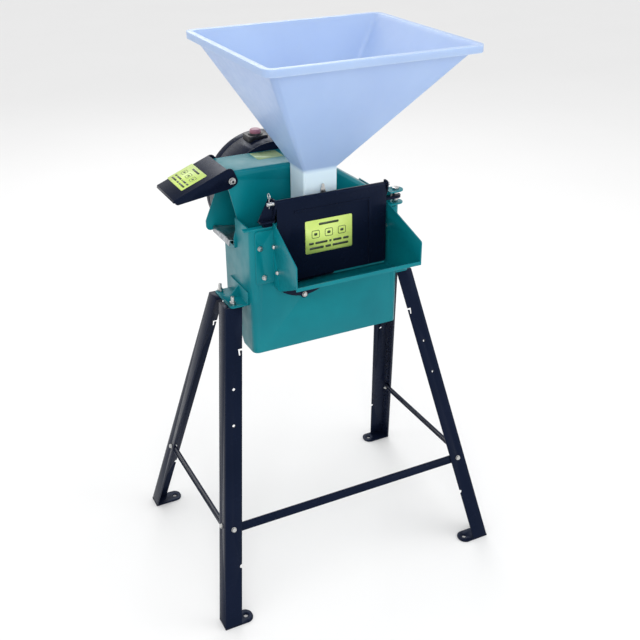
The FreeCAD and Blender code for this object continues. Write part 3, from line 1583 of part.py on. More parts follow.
def make_switch_base():
    """Switch housing that sits on the drum, with the collar around the button."""
    left = switch_x - switch_half_x
    right = switch_x + switch_half_x
    low = axis_z + motor_radius * switch_seat_share
    points = [(left, switch_y - switch_half_y), (right, switch_y - switch_half_y),
              (right, switch_y + switch_half_y), (left, switch_y + switch_half_y)]
    block = plate_z(points, low, switch_top_z, [switch_corner_radius] * 4)
    collar = rod(V(switch_x, switch_y, switch_top_z - 1), V(switch_x, switch_y,
                                                            switch_top_z + switch_collar_height),
                 switch_collar_radius)
    drum = rod(on_axis(casing_back_y), on_axis(motor_back_y), motor_radius)
    top = switch_top_z + switch_collar_height
    well = rod(V(switch_x, switch_y, top - button_travel - 2), V(switch_x, switch_y, top + 1),
               button_radius + button_side_gap)
    stem_hole = rod(V(switch_x, switch_y, top - button_well_depth), V(switch_x, switch_y, top + 1),
                    button_stem_radius + pivot_clearance)
    return block.fuse(collar).cut([drum, well, stem_hole])


def make_switch_button():
    """Round push button with its stem."""
    top = switch_top_z + switch_collar_height
    cap = rod(V(switch_x, switch_y, top - 1), V(switch_x, switch_y, top + button_rise), button_radius)
    rim = [edge for edge in cap.Edges if edge.BoundBox.ZMin > top + button_rise - match_gap]
    cap = cap.makeFillet(button_edge_radius, rim[:1])
    stem = rod(V(switch_x, switch_y, top - button_stem_length), V(switch_x, switch_y, top),
               button_stem_radius)
    return cap.fuse(stem)


def make_cable_gland():
    """Gland for the supply lead on the lower right of the drum."""
    outwards = around(1, gland_deg, 0) - around(0, gland_deg, 0)
    nut = hexagon(around(motor_radius, gland_deg, gland_y), outwards, gland_radius,
                  gland_length * gland_nut_share)
    dome = gland_bar(0, gland_length, gland_radius * gland_dome_share)
    spigot = gland_bar(-motor_wall - 2, 1, gland_spigot_radius)
    bore = gland_bar(-motor_wall - gland_bore_reach, gland_length + 1, gland_bore)
    return nut.fuse([dome, spigot]).cut(bore)


def make_shaft_key():
    """Key between the shaft and the hub."""
    return key_room.copy()


nodes = {
    "front_brace": make_front_brace(),
    "brace_bolts": make_brace_bolts(),
    "stand_bolts": make_stand_bolts(),
    "body_skirt": make_body_skirt(),
    "casing_shell": make_casing_shell(),
    "casing_back_plate": make_casing_back_plate(),
    "chamber_liner": make_chamber_liner(),
    "sieve": make_sieve(),
    "spout_floor": make_spout_floor(),
    "chamber_left_panel": make_chamber_left_panel(),
    "discharge_guide": make_discharge_guide(),
    "mouth_ring": make_mouth_ring(),
    "inner_trough": make_inner_trough(),
    "feed_tray": make_feed_tray(),
    "front_bolts": make_front_bolts(),
    "flap_bracket_left": make_flap_bracket_left(),
    "flap_bracket_right": make_flap_bracket_right(),
    "hinge_ears": make_hinge_ears(),
    "ear_pin": make_ear_pin(),
    "flap_rod": make_flap_rod(),
    "rod_clip": make_rod_clip(),
    "front_flap": make_front_flap(),
    "side_flap": make_side_flap(),
    "side_flap_pivots": make_side_flap_pivots(),
    "hopper": make_hopper(),
    "hopper_pad": make_hopper_pad(),
    "hopper_screws": make_hopper_screws(),
    "gate_slide": make_gate_slide(),
    "rotor_body": make_rotor_body(),
    "rotor_shaft": make_rotor_shaft(),
    "rotor_nut": make_rotor_nut(),
    "shaft_key": make_shaft_key(),
    "hammer_pins": make_hammer_pins(),
    "forage_knives": make_knives(),
    "knife_bolts": make_knife_bolts(),
    "motor_front_shield": make_motor_front_shield(),
    "motor_rear_shield": make_motor_rear_shield(),
    "motor_drum": make_motor_drum(),
    "motor_bearings": make_bearings(),
    "stator_core": make_stator_core(),
    "stator_windings": make_stator_windings(),
    "motor_core": make_motor_core(),
    "motor_screws": make_motor_screws(),
    "cooling_fan": make_fan(),
    "fan_cowl": make_fan_cowl(),
    "switch_base": make_switch_base(),
    "switch_button": make_switch_button(),
    "cable_gland": make_cable_gland(),
}
for side, side_name in ((-1, "left"), (1, "right")):
    nodes["side_brace_" + side_name] = make_side_brace(side)
    nodes["side_bracket_" + side_name] = make_side_bracket(side)
    for end, end_name in ((-1, "front"), (1, "back")):
        nodes["leg_" + end_name + "_" + side_name] = make_leg(side, end)
for number in range(hammer_count):
    nodes["hammer_" + str(number + 1)] = make_hammer(number)
for name, shape in nodes.items():
    save(name, shape)
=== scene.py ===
# Looks of an electric forage shredder and hammer mill on a four-leg stand.
# Lengths are in metres, +Z is up, -Y faces the feed tray and -X the side outlet.

import json
import math

import bmesh
import bpy
from mathutils import Matrix, Vector


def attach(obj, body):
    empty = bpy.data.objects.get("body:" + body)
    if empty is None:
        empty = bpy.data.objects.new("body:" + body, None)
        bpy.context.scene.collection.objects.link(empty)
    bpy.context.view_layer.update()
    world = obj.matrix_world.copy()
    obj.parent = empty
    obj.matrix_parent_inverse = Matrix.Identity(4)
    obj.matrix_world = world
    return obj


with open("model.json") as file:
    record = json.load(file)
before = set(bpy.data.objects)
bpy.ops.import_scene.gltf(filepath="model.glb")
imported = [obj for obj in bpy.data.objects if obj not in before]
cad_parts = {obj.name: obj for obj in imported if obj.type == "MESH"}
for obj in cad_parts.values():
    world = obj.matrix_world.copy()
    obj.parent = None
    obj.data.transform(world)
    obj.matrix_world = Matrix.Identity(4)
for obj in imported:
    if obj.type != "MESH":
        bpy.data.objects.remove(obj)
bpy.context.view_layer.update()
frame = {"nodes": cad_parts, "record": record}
nodes = frame["nodes"]

MM = 0.001

# ------------------------------------------------------------------ colours, linear

TEAL = (0.001, 0.200, 0.235)
TEAL_DARK = (0.001, 0.150, 0.185)
BLACK = (0.0040, 0.0065, 0.0170)
BLACK_SOFT = (0.0060, 0.0090, 0.0225)
COOL_GLOSS = (0.34, 0.52, 0.95)
TEAL_GLOSS = (0.55, 0.95, 1.0)
PLASTIC_WHITE = (0.37, 0.49, 0.73)
PLASTIC_SHADE = (0.32, 0.43, 0.67)
# Painted glow of the hopper neck: a lighter blue that stands in for light gathered in the translucent neck.
PLASTIC_NECK_PAINTED_GLOW = (0.68, 0.86, 1.0)
PLASTIC_SCUFF = (0.70, 0.78, 0.90)
ZINC = (0.62, 0.62, 0.60)
ZINC_DULL = (0.40, 0.41, 0.42)
GALVANISED = (0.50, 0.52, 0.54)
GALVANISED_DULL = (0.33, 0.35, 0.37)
HARD_STEEL = (0.20, 0.20, 0.21)
HARD_STEEL_DARK = (0.10, 0.10, 0.11)
BARE_STEEL = (0.45, 0.45, 0.44)
WORN_BLACK = (0.10, 0.10, 0.11)
COPPER = (0.50, 0.20, 0.07)
COPPER_DARK = (0.28, 0.09, 0.03)
RUBBER_BLACK = (0.004, 0.005, 0.008)
RUBBER_GREY = (0.008, 0.009, 0.013)
BUTTON_RED = (0.40, 0.17, 0.23)
BUTTON_DARK = (0.24, 0.08, 0.12)
LABEL_GREEN = (0.66, 0.83, 0.20)
LABEL_SHADE = (0.58, 0.76, 0.17)
LABEL_INK = (0.035, 0.05, 0.03)
LABEL_INK_WORN = (0.05, 0.07, 0.04)
STICKER = (0.40, 0.50, 0.22)
STICKER_SHADE = (0.28, 0.42, 0.22)


# ------------------------------------------------------------------ materials

# Noise detail, and the part of its 0-1 range where most of it lies.
SOFT, PLAIN, MIDDLE, FINE = 2.0, 4.0, 5.0, 6.0
LOW_STOP, HIGH_STOP = 0.3, 0.7
EVEN = (1.0, 1.0, 1.0)
BEVEL_SAMPLES = 4


class Shader:
    """A material and the few node patterns that every surface here is made from."""

    def __init__(self, name):
        self.material = bpy.data.materials.new(name)
        self.material.use_nodes = True
        self.tree = self.material.node_tree
        self.surface = self.tree.nodes["Principled BSDF"]
        self.place = self.tree.nodes.new("ShaderNodeTexCoord").outputs["Object"]

    def link(self, source, target):
        self.tree.links.new(source, target)

    def noise(self, scale, detail=PLAIN, stretch=EVEN):
        """Soft random pattern with features about 1/scale metres across."""
        mapping = self.tree.nodes.new("ShaderNodeMapping")
        mapping.inputs["Scale"].default_value = stretch
        self.link(self.place, mapping.inputs["Vector"])
        node = self.tree.nodes.new("ShaderNodeTexNoise")
        node.inputs["Scale"].default_value = scale
        node.inputs["Detail"].default_value = detail
        self.link(mapping.outputs["Vector"], node.inputs["Vector"])
        return node.outputs["Fac"]

    def ramp(self, source, stops):
        """Colour ramp through (position, colour) stops."""
        node = self.tree.nodes.new("ShaderNodeValToRGB")
        elements = node.color_ramp.elements
        while len(elements) < len(stops):
            elements.new(0.5)
        for element, (position, colour) in zip(elements, stops):
            element.position = position
            element.color = (*colour, 1.0)
        self.link(source, node.inputs["Fac"])
        return node.outputs["Color"]

    def spread(self, source, low, high):
        """Maps a 0-1 pattern to a range of numbers."""
        node = self.tree.nodes.new("ShaderNodeMapRange")
        node.inputs["From Min"].default_value = LOW_STOP
        node.inputs["From Max"].default_value = HIGH_STOP
        node.inputs["To Min"].default_value = low
        node.inputs["To Max"].default_value = high
        self.link(source, node.inputs["Value"])
        return node.outputs["Result"]

    def mix(self, share, first, second):
        """Mix of two colours by a share pattern. Each side is a socket or a plain colour."""
        node = self.tree.nodes.new("ShaderNodeMix")
        node.data_type = "RGBA"
        self.link(share, node.inputs["Factor"])
        for side, socket in ((first, node.inputs["A"]), (second, node.inputs["B"])):
            colour_socket = [s for s in node.inputs if s.type == "RGBA" and s.name == socket.name][0]
            if isinstance(side, tuple):
                colour_socket.default_value = (*side, 1.0)
            else:
                self.link(side, colour_socket)
        return [s for s in node.outputs if s.type == "RGBA"][0]

    def math(self, operation, first, second):
        node = self.tree.nodes.new("ShaderNodeMath")
        node.operation = operation
        for value, socket in ((first, node.inputs[0]), (second, node.inputs[1])):
            if isinstance(value, (int, float)):
                socket.default_value = value
            else:
                self.link(value, socket)
        return node.outputs[0]

    def edges(self, radius, low, high):
        """About 1 along outside and inside corners, and 0 on open faces."""
        bevel = self.tree.nodes.new("ShaderNodeBevel")
        bevel.samples = BEVEL_SAMPLES
        bevel.inputs["Radius"].default_value = radius
        flat = self.tree.nodes.new("ShaderNodeNewGeometry").outputs["Normal"]
        turn = self.tree.nodes.new("ShaderNodeVectorMath")
        turn.operation = "DOT_PRODUCT"
        self.link(bevel.outputs["Normal"], turn.inputs[0])
        self.link(flat, turn.inputs[1])
        bent = self.math("SUBTRACT", 1.0, turn.outputs["Value"])
        node = self.tree.nodes.new("ShaderNodeMapRange")
        node.inputs["From Min"].default_value = low
        node.inputs["From Max"].default_value = high
        self.link(bent, node.inputs["Value"])
        return node.outputs["Result"]

    def bump(self, layers):
        """Surface relief from (pattern, height in metres) layers."""
        normal = None
        for pattern, height in layers:
            node = self.tree.nodes.new("ShaderNodeBump")
            node.inputs["Distance"].default_value = height
            self.link(pattern, node.inputs["Height"])
            if normal is not None:
                self.link(normal, node.inputs["Normal"])
            normal = node.outputs["Normal"]
        self.link(normal, self.surface.inputs["Normal"])

    def set(self, **values):
        """Plain numbers straight on the shader's own sockets."""
        for name, value in values.items():
            socket = name.replace("_", " ").title().replace("Ior", "IOR")
            self.surface.inputs[socket].default_value = value


PAINT_CLOUDS = 7.0
PAINT_SMEARS = 34.0
PAINT_PEEL = 520.0
PAINT_WAVES = 22.0
PAINT_WAVE_HEIGHT = 9
CHIP_SIZE = 160.0
CHIP_REACH = 1.1 * MM
CHIP_BEND = (0.10, 0.32)


def painted(name, colour, shade, gloss, shine, chip, roughness, orange_peel, chip_amount):
    """Powder coat or gloss paint: uneven film, orange peel and chips along the edges."""
    s = Shader(name)
    film = s.ramp(s.noise(PAINT_CLOUDS), [(0.32, shade), (0.68, colour)])
    chips = s.math("MULTIPLY", s.edges(CHIP_REACH, *CHIP_BEND),
                   s.spread(s.noise(CHIP_SIZE, FINE), 0.0, chip_amount))
    s.link(s.mix(chips, film, chip), s.surface.inputs["Base Color"])
    s.link(s.spread(s.noise(PAINT_SMEARS, FINE), roughness * 0.85, roughness * 1.2),
           s.surface.inputs["Roughness"])
    s.bump([(s.noise(PAINT_PEEL, SOFT), orange_peel),
            (s.noise(PAINT_WAVES, SOFT), orange_peel * PAINT_WAVE_HEIGHT)])
    s.set(specular_ior_level=shine, specular_tint=(*gloss, 1.0))
    return s.material


METAL_PATCHES = 150.0
METAL_SMEARS = 420.0
METAL_LINES = 900.0
CORNER_DARK_REACH = 0.9 * MM
CORNER_DARK_BEND = (0.05, 0.5)
CORNER_DARK_AMOUNT = 0.45


def plated(name, colour, dull, roughness, stretch, scratch_height):
    """Zinc or ground steel: patchy lustre and fine drawn lines."""
    s = Shader(name)
    patches = s.ramp(s.noise(METAL_PATCHES, MIDDLE), [(LOW_STOP, dull), (HIGH_STOP, colour)])
    # The dull colour is mixed in along outside and inside corners, so these corners are darker.
    corner_darkening = s.math("MULTIPLY", s.edges(CORNER_DARK_REACH, *CORNER_DARK_BEND), CORNER_DARK_AMOUNT)
    s.link(s.mix(corner_darkening, patches, dull), s.surface.inputs["Base Color"])
    s.link(s.spread(s.noise(METAL_SMEARS, 3.0, stretch), roughness * 0.7, roughness * 1.35),
           s.surface.inputs["Roughness"])
    s.bump([(s.noise(METAL_LINES, SOFT, stretch), scratch_height)])
    s.set(metallic=1.0)
    return s.material


SPANGLE_SCALE = 150.0
SPANGLE_SHEEN = (0.28, 0.48)
SPANGLE_HEIGHT = 0.06 * MM


def galvanised(name):
    """Galvanised sheet with its crystal spangle."""
    s = Shader(name)
    spangle = s.tree.nodes.new("ShaderNodeTexVoronoi")
    spangle.inputs["Scale"].default_value = SPANGLE_SCALE
    s.link(s.place, spangle.inputs["Vector"])
    grey = s.tree.nodes.new("ShaderNodeSeparateColor")
    s.link(spangle.outputs["Color"], grey.inputs["Color"])
    s.link(s.ramp(grey.outputs["Red"], [(0.1, GALVANISED_DULL), (0.9, GALVANISED)]),
           s.surface.inputs["Base Color"])
    s.link(s.spread(grey.outputs["Green"], *SPANGLE_SHEEN), s.surface.inputs["Roughness"])
    s.bump([(s.noise(2 * SPANGLE_SCALE, 3.0), SPANGLE_HEIGHT)])
    s.set(metallic=0.95)
    return s.material


PLASTIC_CLOUDS = 12.0
PLASTIC_SMEARS = 60.0
PLASTIC_GRAIN = 700.0
PLASTIC_SINKS = 14.0
PLASTIC_SINK_DEPTH = 6


def moulded(name, colour, shade, roughness, texture_height):
    """Moulded plastic with a fine spark texture and handling marks."""
    s = Shader(name)
    s.link(s.ramp(s.noise(PLASTIC_CLOUDS, MIDDLE), [(LOW_STOP, shade), (HIGH_STOP, colour)]),
           s.surface.inputs["Base Color"])
    s.link(s.spread(s.noise(PLASTIC_SMEARS, FINE), roughness * 0.85, roughness * 1.25),
           s.surface.inputs["Roughness"])
    s.bump([(s.noise(PLASTIC_GRAIN, SOFT), texture_height),
            (s.noise(PLASTIC_SINKS, SOFT), texture_height * PLASTIC_SINK_DEPTH)])
    return s


NECK_TOP = 0.993
NECK_FADE = 6.0 * MM
FLOW_SCALE = 5.0
FLOW_STRETCH = (1.0, 1.0, 0.35)
SCUFF_SCALE = 90.0
SCUFF_REACH = 4.0 * MM
SCUFF_BEND = (0.02, 0.30)
SCUFF_AMOUNT = (0.1, 0.7)
HOPPER_GRAIN = 0.03 * MM
HOPPER_ROUGHNESS = 0.42
HOPPER_DEPTH = (10.0 * MM, 12.0 * MM, 16.0 * MM)


def hopper_plastic(name):
    """Milky polyethylene: light passes a little way in, with flow marks and scuffs; the neck is painted a
    lighter blue, a painted glow.
    """
    s = moulded(name, PLASTIC_WHITE, PLASTIC_SHADE, HOPPER_ROUGHNESS, HOPPER_GRAIN)
    flow = s.ramp(s.noise(FLOW_SCALE, PLAIN, FLOW_STRETCH),
                  [(LOW_STOP, PLASTIC_SHADE), (HIGH_STOP, PLASTIC_WHITE)])
    scuffs = s.math("MULTIPLY", s.edges(SCUFF_REACH, *SCUFF_BEND),
                    s.spread(s.noise(SCUFF_SCALE, FINE), *SCUFF_AMOUNT))
    # Painted light: below NECK_TOP the colour turns to a lighter blue, a painted glow for light gathered in the
    # translucent neck.
    height = s.tree.nodes.new("ShaderNodeSeparateXYZ")
    s.link(s.place, height.inputs["Vector"])
    lit = s.tree.nodes.new("ShaderNodeMapRange")
    lit.inputs["From Min"].default_value = NECK_TOP + NECK_FADE
    lit.inputs["From Max"].default_value = NECK_TOP - NECK_FADE
    s.link(height.outputs["Z"], lit.inputs["Value"])
    painted_neck_glow = s.mix(lit.outputs["Result"], flow, PLASTIC_NECK_PAINTED_GLOW)
    s.link(s.mix(scuffs, painted_neck_glow, PLASTIC_SCUFF), s.surface.inputs["Base Color"])
    s.set(subsurface_weight=0.35, subsurface_radius=HOPPER_DEPTH, subsurface_scale=1.0,
          coat_weight=0.15, coat_roughness=0.25)
    return s.material


SHEETS_PER_METRE = 2200.0
SHEET_STRETCH = (0.02, 1.0, 0.02)
SHEET_STEP = 0.08 * MM


def laminated(name):
    """Stack of thin electrical sheets seen on edge."""
    s = Shader(name)
    bands = s.noise(SHEETS_PER_METRE, 1.0, SHEET_STRETCH)
    s.link(s.ramp(bands, [(0.4, HARD_STEEL_DARK), (0.6, HARD_STEEL)]), s.surface.inputs["Base Color"])
    s.link(s.spread(s.noise(80.0), 0.4, 0.6), s.surface.inputs["Roughness"])
    s.bump([(bands, SHEET_STEP)])
    s.set(metallic=0.8)
    return s.material


WIRES_PER_METRE = 900.0
WIRE_STRETCH = (1.0, 0.15, 1.0)
WIRE_HEIGHT = 0.3 * MM


def wound(name):
    """Enamelled copper wire laid in rings."""
    s = Shader(name)
    wires = s.noise(WIRES_PER_METRE, SOFT, WIRE_STRETCH)
    s.link(s.ramp(wires, [(0.35, COPPER_DARK), (0.65, COPPER)]), s.surface.inputs["Base Color"])
    s.link(s.spread(s.noise(50.0), 0.3, 0.5), s.surface.inputs["Roughness"])
    s.bump([(wires, WIRE_HEIGHT)])
    s.set(metallic=0.7)
    return s.material


STICKER_FADING = 35.0
STICKER_SMEARS = 120.0
STICKER_CREASES = 160.0
STICKER_CREASE_HEIGHT = 0.04 * MM


def printed(name, colour, shade):
    """Printed vinyl sticker: slight fading and a satin film."""
    s = Shader(name)
    s.link(s.ramp(s.noise(STICKER_FADING, MIDDLE), [(LOW_STOP, shade), (HIGH_STOP, colour)]),
           s.surface.inputs["Base Color"])
    s.link(s.spread(s.noise(STICKER_SMEARS, PLAIN), 0.3, 0.42), s.surface.inputs["Roughness"])
    s.bump([(s.noise(STICKER_CREASES, SOFT), STICKER_CREASE_HEIGHT)])
    return s.material


TURNED = (1.0, 0.1, 1.0)
coats = {
    "green_coat": painted("green_coat_look", TEAL, TEAL_DARK, TEAL_GLOSS, shine=0.26, chip=BARE_STEEL,
                          roughness=0.34, orange_peel=0.04 * MM, chip_amount=0.30),
    "black_coat": painted("black_coat_look", BLACK, BLACK_SOFT, COOL_GLOSS, shine=0.12, chip=WORN_BLACK,
                          roughness=0.25, orange_peel=0.03 * MM, chip_amount=0.5),
    "zinc_plate": plated("zinc_plate_look", ZINC, ZINC_DULL, 0.30, EVEN, 0.02 * MM),
    "galvanised": galvanised("galvanised_look"),
    "dark_steel": plated("dark_steel_look", HARD_STEEL, HARD_STEEL_DARK, 0.42, TURNED, 0.05 * MM),
    "lamination": laminated("lamination_look"),
    "copper_winding": wound("copper_winding_look"),
    "white_plastic": hopper_plastic("white_plastic_look"),
    "black_plastic": moulded("black_plastic_look", RUBBER_GREY, RUBBER_BLACK, 0.40, 0.06 * MM).material,
    "red_plastic": moulded("red_plastic_look", BUTTON_RED, BUTTON_DARK, 0.38, 0.03 * MM).material,
}
label_film = printed("label_film", LABEL_GREEN, LABEL_SHADE)
label_ink = printed("label_ink", LABEL_INK, LABEL_INK_WORN)
sticker_film = printed("sticker_film", STICKER, STICKER_SHADE)


# ------------------------------------------------------------------ the carried-over parts

WELD_REACH = 0.01 * MM
SHARP_ANGLE = math.radians(38)


def soften(obj, width):
    """Small rounded edges and smooth curved faces, so that each edge catches the light."""
    obj.data.shade_smooth()
    weld = obj.modifiers.new("join", "WELD")
    weld.merge_threshold = WELD_REACH
    bevel = obj.modifiers.new("soft_edges", "BEVEL")
    bevel.width = width
    bevel.segments = 2
    bevel.limit_method = "ANGLE"
    bevel.angle_limit = SHARP_ANGLE
    bevel.use_clamp_overlap = True
    bevel.harden_normals = True


EDGE_WIDTH = {"white_plastic": 1.2 * MM, "green_coat": 0.5 * MM, "black_coat": 0.5 * MM}
BARE_EDGE_WIDTH = 0.35 * MM
NO_BEVEL = {"sieve", "cooling_fan", "stator_windings"}
slots = {part["node"]: part["material_slot"] for part in frame["record"]["subparts"]}
for name, obj in nodes.items():
    slot = slots[name]
    obj.data.materials.clear()
    obj.data.materials.append(coats[slot])
    if name not in NO_BEVEL:
        soften(obj, EDGE_WIDTH.get(slot, BARE_EDGE_WIDTH))


# ------------------------------------------------------------------ mesh helpers

def piece(name, bm, material, body):
    """Turns a bmesh in the row frame into a piece that rides on a body."""
    mesh = bpy.data.meshes.new(name)
    bmesh.ops.recalc_face_normals(bm, faces=bm.faces)
    bm.to_mesh(mesh)
    bm.free()
    mesh.materials.append(material)
    mesh.shade_smooth()
    obj = bpy.data.objects.new(name, mesh)
    bpy.context.scene.collection.objects.link(obj)
    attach(obj, body)
    return obj


def rounded(width, height, radius, steps=5):
    """Outline points of a rectangle with rounded corners, about the origin."""
    points = []
    for quarter, (sx, sy) in enumerate(((1, 1), (-1, 1), (-1, -1), (1, -1))):
        for step in range(steps + 1):
            angle = (quarter + step / steps) * math.pi / 2
            points.append((sx * (width / 2 - radius) + radius * math.cos(angle),
                           sy * (height / 2 - radius) + radius * math.sin(angle)))
    return points


def slab(bm, outline, plane, low, high):
    """Adds a flat plate with this outline to bm, between two heights over a plane's matrix."""
    bottom = [bm.verts.new(plane @ Vector((x, y, low))) for x, y in outline]
    top = [bm.verts.new(plane @ Vector((x, y, high))) for x, y in outline]
    bm.faces.new(list(reversed(bottom)))
    bm.faces.new(top)
    count = len(outline)
    for i in range(count):
        j = (i + 1) % count
        bm.faces.new((bottom[i], bottom[j], top[j], top[i]))


def band(bm, outer, inner, plane, low, high):
    """Adds a flat ring between two outlines of equal point count."""
    rows = [[bm.verts.new(plane @ Vector((x, y, z))) for x, y in line]
            for line, z in ((outer, low), (outer, high), (inner, high), (inner, low))]
    count = len(outer)
    for a in range(4):
        b = (a + 1) % 4
        for i in range(count):
            j = (i + 1) % count
            bm.faces.new((rows[a][i], rows[a][j], rows[b][j], rows[b][i]))


def shifted(outline, dx, dy):
    return [(x + dx, y + dy) for x, y in outline]


def plane_at(point, right, up):
    """Matrix whose X and Y lie along right and up, and whose Z points out of the plane."""
    right = Vector(right).normalized()
    up = Vector(up).normalized()
    out = right.cross(up).normalized()
    matrix = Matrix((right, up, out)).transposed().to_4x4()
    matrix.translation = Vector(point)
    return matrix


# ------------------------------------------------------------------ labels

LABEL_SEAT = 0.02 * MM
LABEL_FILM = 0.25 * MM
LABEL_INK_RISE = 0.33 * MM

# Layout of a label, as shares of its width and height.
HEADING = (0.0, 0.36, 0.42, 0.07)
EMBLEM_PLACES = (-0.28, 0.0, 0.28)
EMBLEM_HEIGHT = 0.07
TEXT_ROWS = ((-0.20, (0.10, 0.26, 0.05, 0.18, 0.12)), (-0.35, (0.30, 0.12, 0.34)))
TEXT_GAP = 0.035
TEXT_THICKNESS = 0.07


def label(name, plane, width, height, body, slot):
    """Generic label: rounded film, a heading bar, three blank emblem frames and two rows of short bars."""
    film = bmesh.new()
    slab(film, rounded(width, height, 0.05 * height), plane, LABEL_SEAT, LABEL_FILM)
    piece(name + "_film", film, label_film, body)
    ink = bmesh.new()

    def bar(cx, cy, w, h):
        slab(ink, shifted(rounded(w * width, h * height, 0.3 * h * height, 2), cx * width, cy * height),
             plane, LABEL_FILM, LABEL_INK_RISE)

    bar(*HEADING)
    for cx in EMBLEM_PLACES:
        outer = shifted(rounded(0.17 * width, 0.24 * height, 0.05 * height), cx * width, EMBLEM_HEIGHT * height)
        inner = shifted(rounded(0.17 * width - 0.035 * height, 0.205 * height, 0.035 * height),
                        cx * width, EMBLEM_HEIGHT * height)
        band(ink, outer, inner, plane, LABEL_FILM, LABEL_INK_RISE)
        bar(cx, EMBLEM_HEIGHT, 0.07, 0.08)
    for cy, lengths in TEXT_ROWS:
        x = -(sum(lengths) + TEXT_GAP * (len(lengths) - 1)) / 2
        for length in lengths:
            bar(x + length / 2, cy, length, TEXT_THICKNESS)
            x += length + TEXT_GAP
    piece(name + "_ink", ink, label_ink, body)


FLAP_ROD = Vector((0.0, -0.086, 0.940))
FLAP_FACE = 6.08 * MM
FLAP_LEAN = math.radians(1.5)
FLAP_LABEL_DROP = 0.089
FLAP_LABEL_SHIFT = Vector((-0.006, 0.0, 0.0))
FLAP_LABEL_SIZE = (0.115, 0.076)
flap_up = Vector((0.0, math.sin(FLAP_LEAN), math.cos(FLAP_LEAN)))
flap_out = Vector((0.0, -math.cos(FLAP_LEAN), math.sin(FLAP_LEAN)))
flap_label_at = FLAP_ROD + flap_out * FLAP_FACE - flap_up * FLAP_LABEL_DROP + FLAP_LABEL_SHIFT
label("flap_label", plane_at(flap_label_at, (1, 0, 0), flap_up), *FLAP_LABEL_SIZE, "front_flap", "black_coat")

DEFLECTOR_PIVOT = Vector((-0.188, 0.0, 0.971))
DEFLECTOR_SLOPE = math.radians(22)
DEFLECTOR_HEIGHT = 29 * MM
DEFLECTOR_LABEL_REACH = 0.071
DEFLECTOR_LABEL_SHIFT = Vector((0.0, 0.0745, 0.0))
DEFLECTOR_LABEL_SIZE = (0.094, 0.064)
deflector_along = Vector((-math.cos(DEFLECTOR_SLOPE), 0.0, -math.sin(DEFLECTOR_SLOPE)))
deflector_out = Vector((-math.sin(DEFLECTOR_SLOPE), 0.0, math.cos(DEFLECTOR_SLOPE)))
deflector_label_at = (DEFLECTOR_PIVOT + deflector_out * DEFLECTOR_HEIGHT
                      + deflector_along * DEFLECTOR_LABEL_REACH + DEFLECTOR_LABEL_SHIFT)
label("deflector_label", plane_at(deflector_label_at, (0, -1, 0), -deflector_along), *DEFLECTOR_LABEL_SIZE,
      "side_flap", "black_coat")

STICKER_PLACE = (-0.072, 0.084, 0.990)
STICKER_SIZE = (0.062, 0.050)
STICKER_CORNER = 3 * MM

sticker = bmesh.new()
slab(sticker, rounded(*STICKER_SIZE, STICKER_CORNER), plane_at(STICKER_PLACE, (1, 0, 0), (0, 1, 0)),
     LABEL_SEAT, LABEL_FILM)
piece("casing_sticker", sticker, sticker_film, "machine")

RIVET_LIP_OUTER = 4.6 * MM
RIVET_LIP_INNER = 3.0 * MM
RIVET_LIP_RISE = 0.6 * MM
RIVET_HOLE_SHADE_RISE = 0.1 * MM
RIVET_FACES = {"front": (-2.1 * MM, -1), "back": (123.1 * MM, 1)}


def circle(radius, steps=32):
    return [(radius * math.cos(2 * math.pi * i / steps), radius * math.sin(2 * math.pi * i / steps))
            for i in range(steps)]


# Hollow rivets of the deflector: a rolled lip on the head around a black disc, painted shade where the hole is.
for side, (face_y, outwards) in RIVET_FACES.items():
    face = plane_at((DEFLECTOR_PIVOT.x, face_y - outwards * RIVET_LIP_RISE, DEFLECTOR_PIVOT.z),
                    (-outwards, 0, 0), (0, 0, 1))
    lip = bmesh.new()
    band(lip, circle(RIVET_LIP_OUTER), circle(RIVET_LIP_INNER), face, 0.0, 2 * RIVET_LIP_RISE)
    piece("rivet_lip_" + side, lip, coats["zinc_plate"], "machine")
    # Painted shade: a black disc fills the hollow of the rivet and stands for the shade in its hole.
    hole_shade = bmesh.new()
    slab(hole_shade, circle(RIVET_LIP_INNER), face, 0.0, RIVET_LIP_RISE + RIVET_HOLE_SHADE_RISE)
    piece("rivet_hole_shade_" + side, hole_shade, coats["black_plastic"], "machine")


# ------------------------------------------------------------------ stage, light and camera

FLOOR_SIZE = 60.0
FLOOR_LEVEL = -0.5 * MM
FLOOR_SHADES = ((0.84, 0.84, 0.84), (0.85, 0.85, 0.85))


def plain_stage():
    """Pale floor that runs far past the object."""
    bpy.ops.mesh.primitive_plane_add(size=FLOOR_SIZE, location=(0.0, 0.0, FLOOR_LEVEL))
    floor = bpy.context.object
    floor.name = "floor"
    s = Shader("floor_look")
    s.link(s.ramp(s.noise(1.5), list(zip((LOW_STOP, HIGH_STOP), FLOOR_SHADES))),
           s.surface.inputs["Base Color"])
    s.set(roughness=0.9)
    floor.data.materials.append(s.material)


def soft_light(name, place, target, size, power):
    """Square area light aimed at a point."""
    data = bpy.data.lights.new(name, "AREA")
    data.size = size
    data.energy = power
    lamp = bpy.data.objects.new(name, data)
    lamp.location = place
    lamp.rotation_euler = (Vector(target) - Vector(place)).to_track_quat("-Z", "Y").to_euler()
    bpy.context.scene.collection.objects.link(lamp)


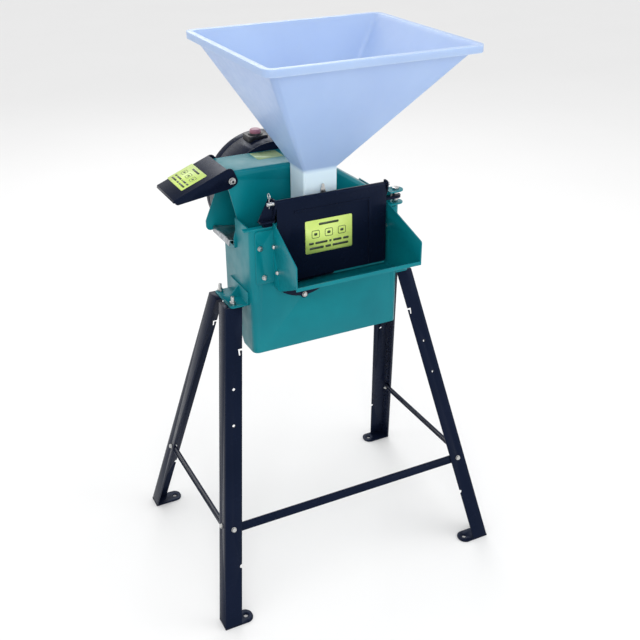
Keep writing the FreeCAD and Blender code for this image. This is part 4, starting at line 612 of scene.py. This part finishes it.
CAMERA_PLACE = (-0.8878, -1.8071, 1.6416)
CAMERA_YAW, CAMERA_PITCH, CAMERA_ROLL = 0.46484, 0.47994, -0.00533
SENSOR_WIDTH = 36.0
FOCAL_SHARE = 947.0 / 640.0


def camera():
    """Camera at the viewing angle, level but for a hair of roll."""
    level = math.cos(CAMERA_PITCH)
    forward = Vector((math.sin(CAMERA_YAW) * level, math.cos(CAMERA_YAW) * level, -math.sin(CAMERA_PITCH)))
    right = Vector((math.cos(CAMERA_YAW), -math.sin(CAMERA_YAW), 0.0))
    up = right.cross(forward)
    rolled_right = right * math.cos(CAMERA_ROLL) + up * math.sin(CAMERA_ROLL)
    rolled_up = up * math.cos(CAMERA_ROLL) - right * math.sin(CAMERA_ROLL)
    data = bpy.data.cameras.new("camera")
    data.sensor_width = SENSOR_WIDTH
    data.lens = FOCAL_SHARE * SENSOR_WIDTH
    view = bpy.data.objects.new("camera", data)
    matrix = Matrix((rolled_right, rolled_up, -forward)).transposed().to_4x4()
    matrix.translation = Vector(CAMERA_PLACE)
    view.matrix_world = matrix
    bpy.context.scene.collection.objects.link(view)
    bpy.context.scene.camera = view


WORLD_STRENGTH = 0.95
LIGHTS = {
    "key": ((-1.5, -3.0, 2.5), (0.0, 0.0, 0.8), 1.5, 36.0),
    "top": ((-0.6, -0.4, 3.6), (0.0, 0.0, 0.7), 2.4, 9.0),
    "fill": ((2.8, -1.8, 2.2), (0.0, 0.0, 0.7), 2.2, 20.0),
    "rim": ((0.8, 2.8, 2.8), (0.0, 0.0, 0.8), 1.8, 26.0),
}

world = bpy.data.worlds.new("studio")
world.use_nodes = True
world.node_tree.nodes["Background"].inputs["Color"].default_value = (1.0, 1.0, 1.0, 1.0)
world.node_tree.nodes["Background"].inputs["Strength"].default_value = WORLD_STRENGTH
bpy.context.scene.world = world
bpy.context.scene.view_settings.view_transform = "Standard"

plain_stage()
for lamp_name, (place, target, size, power) in LIGHTS.items():
    soft_light(lamp_name, place, target, size, power)
camera()
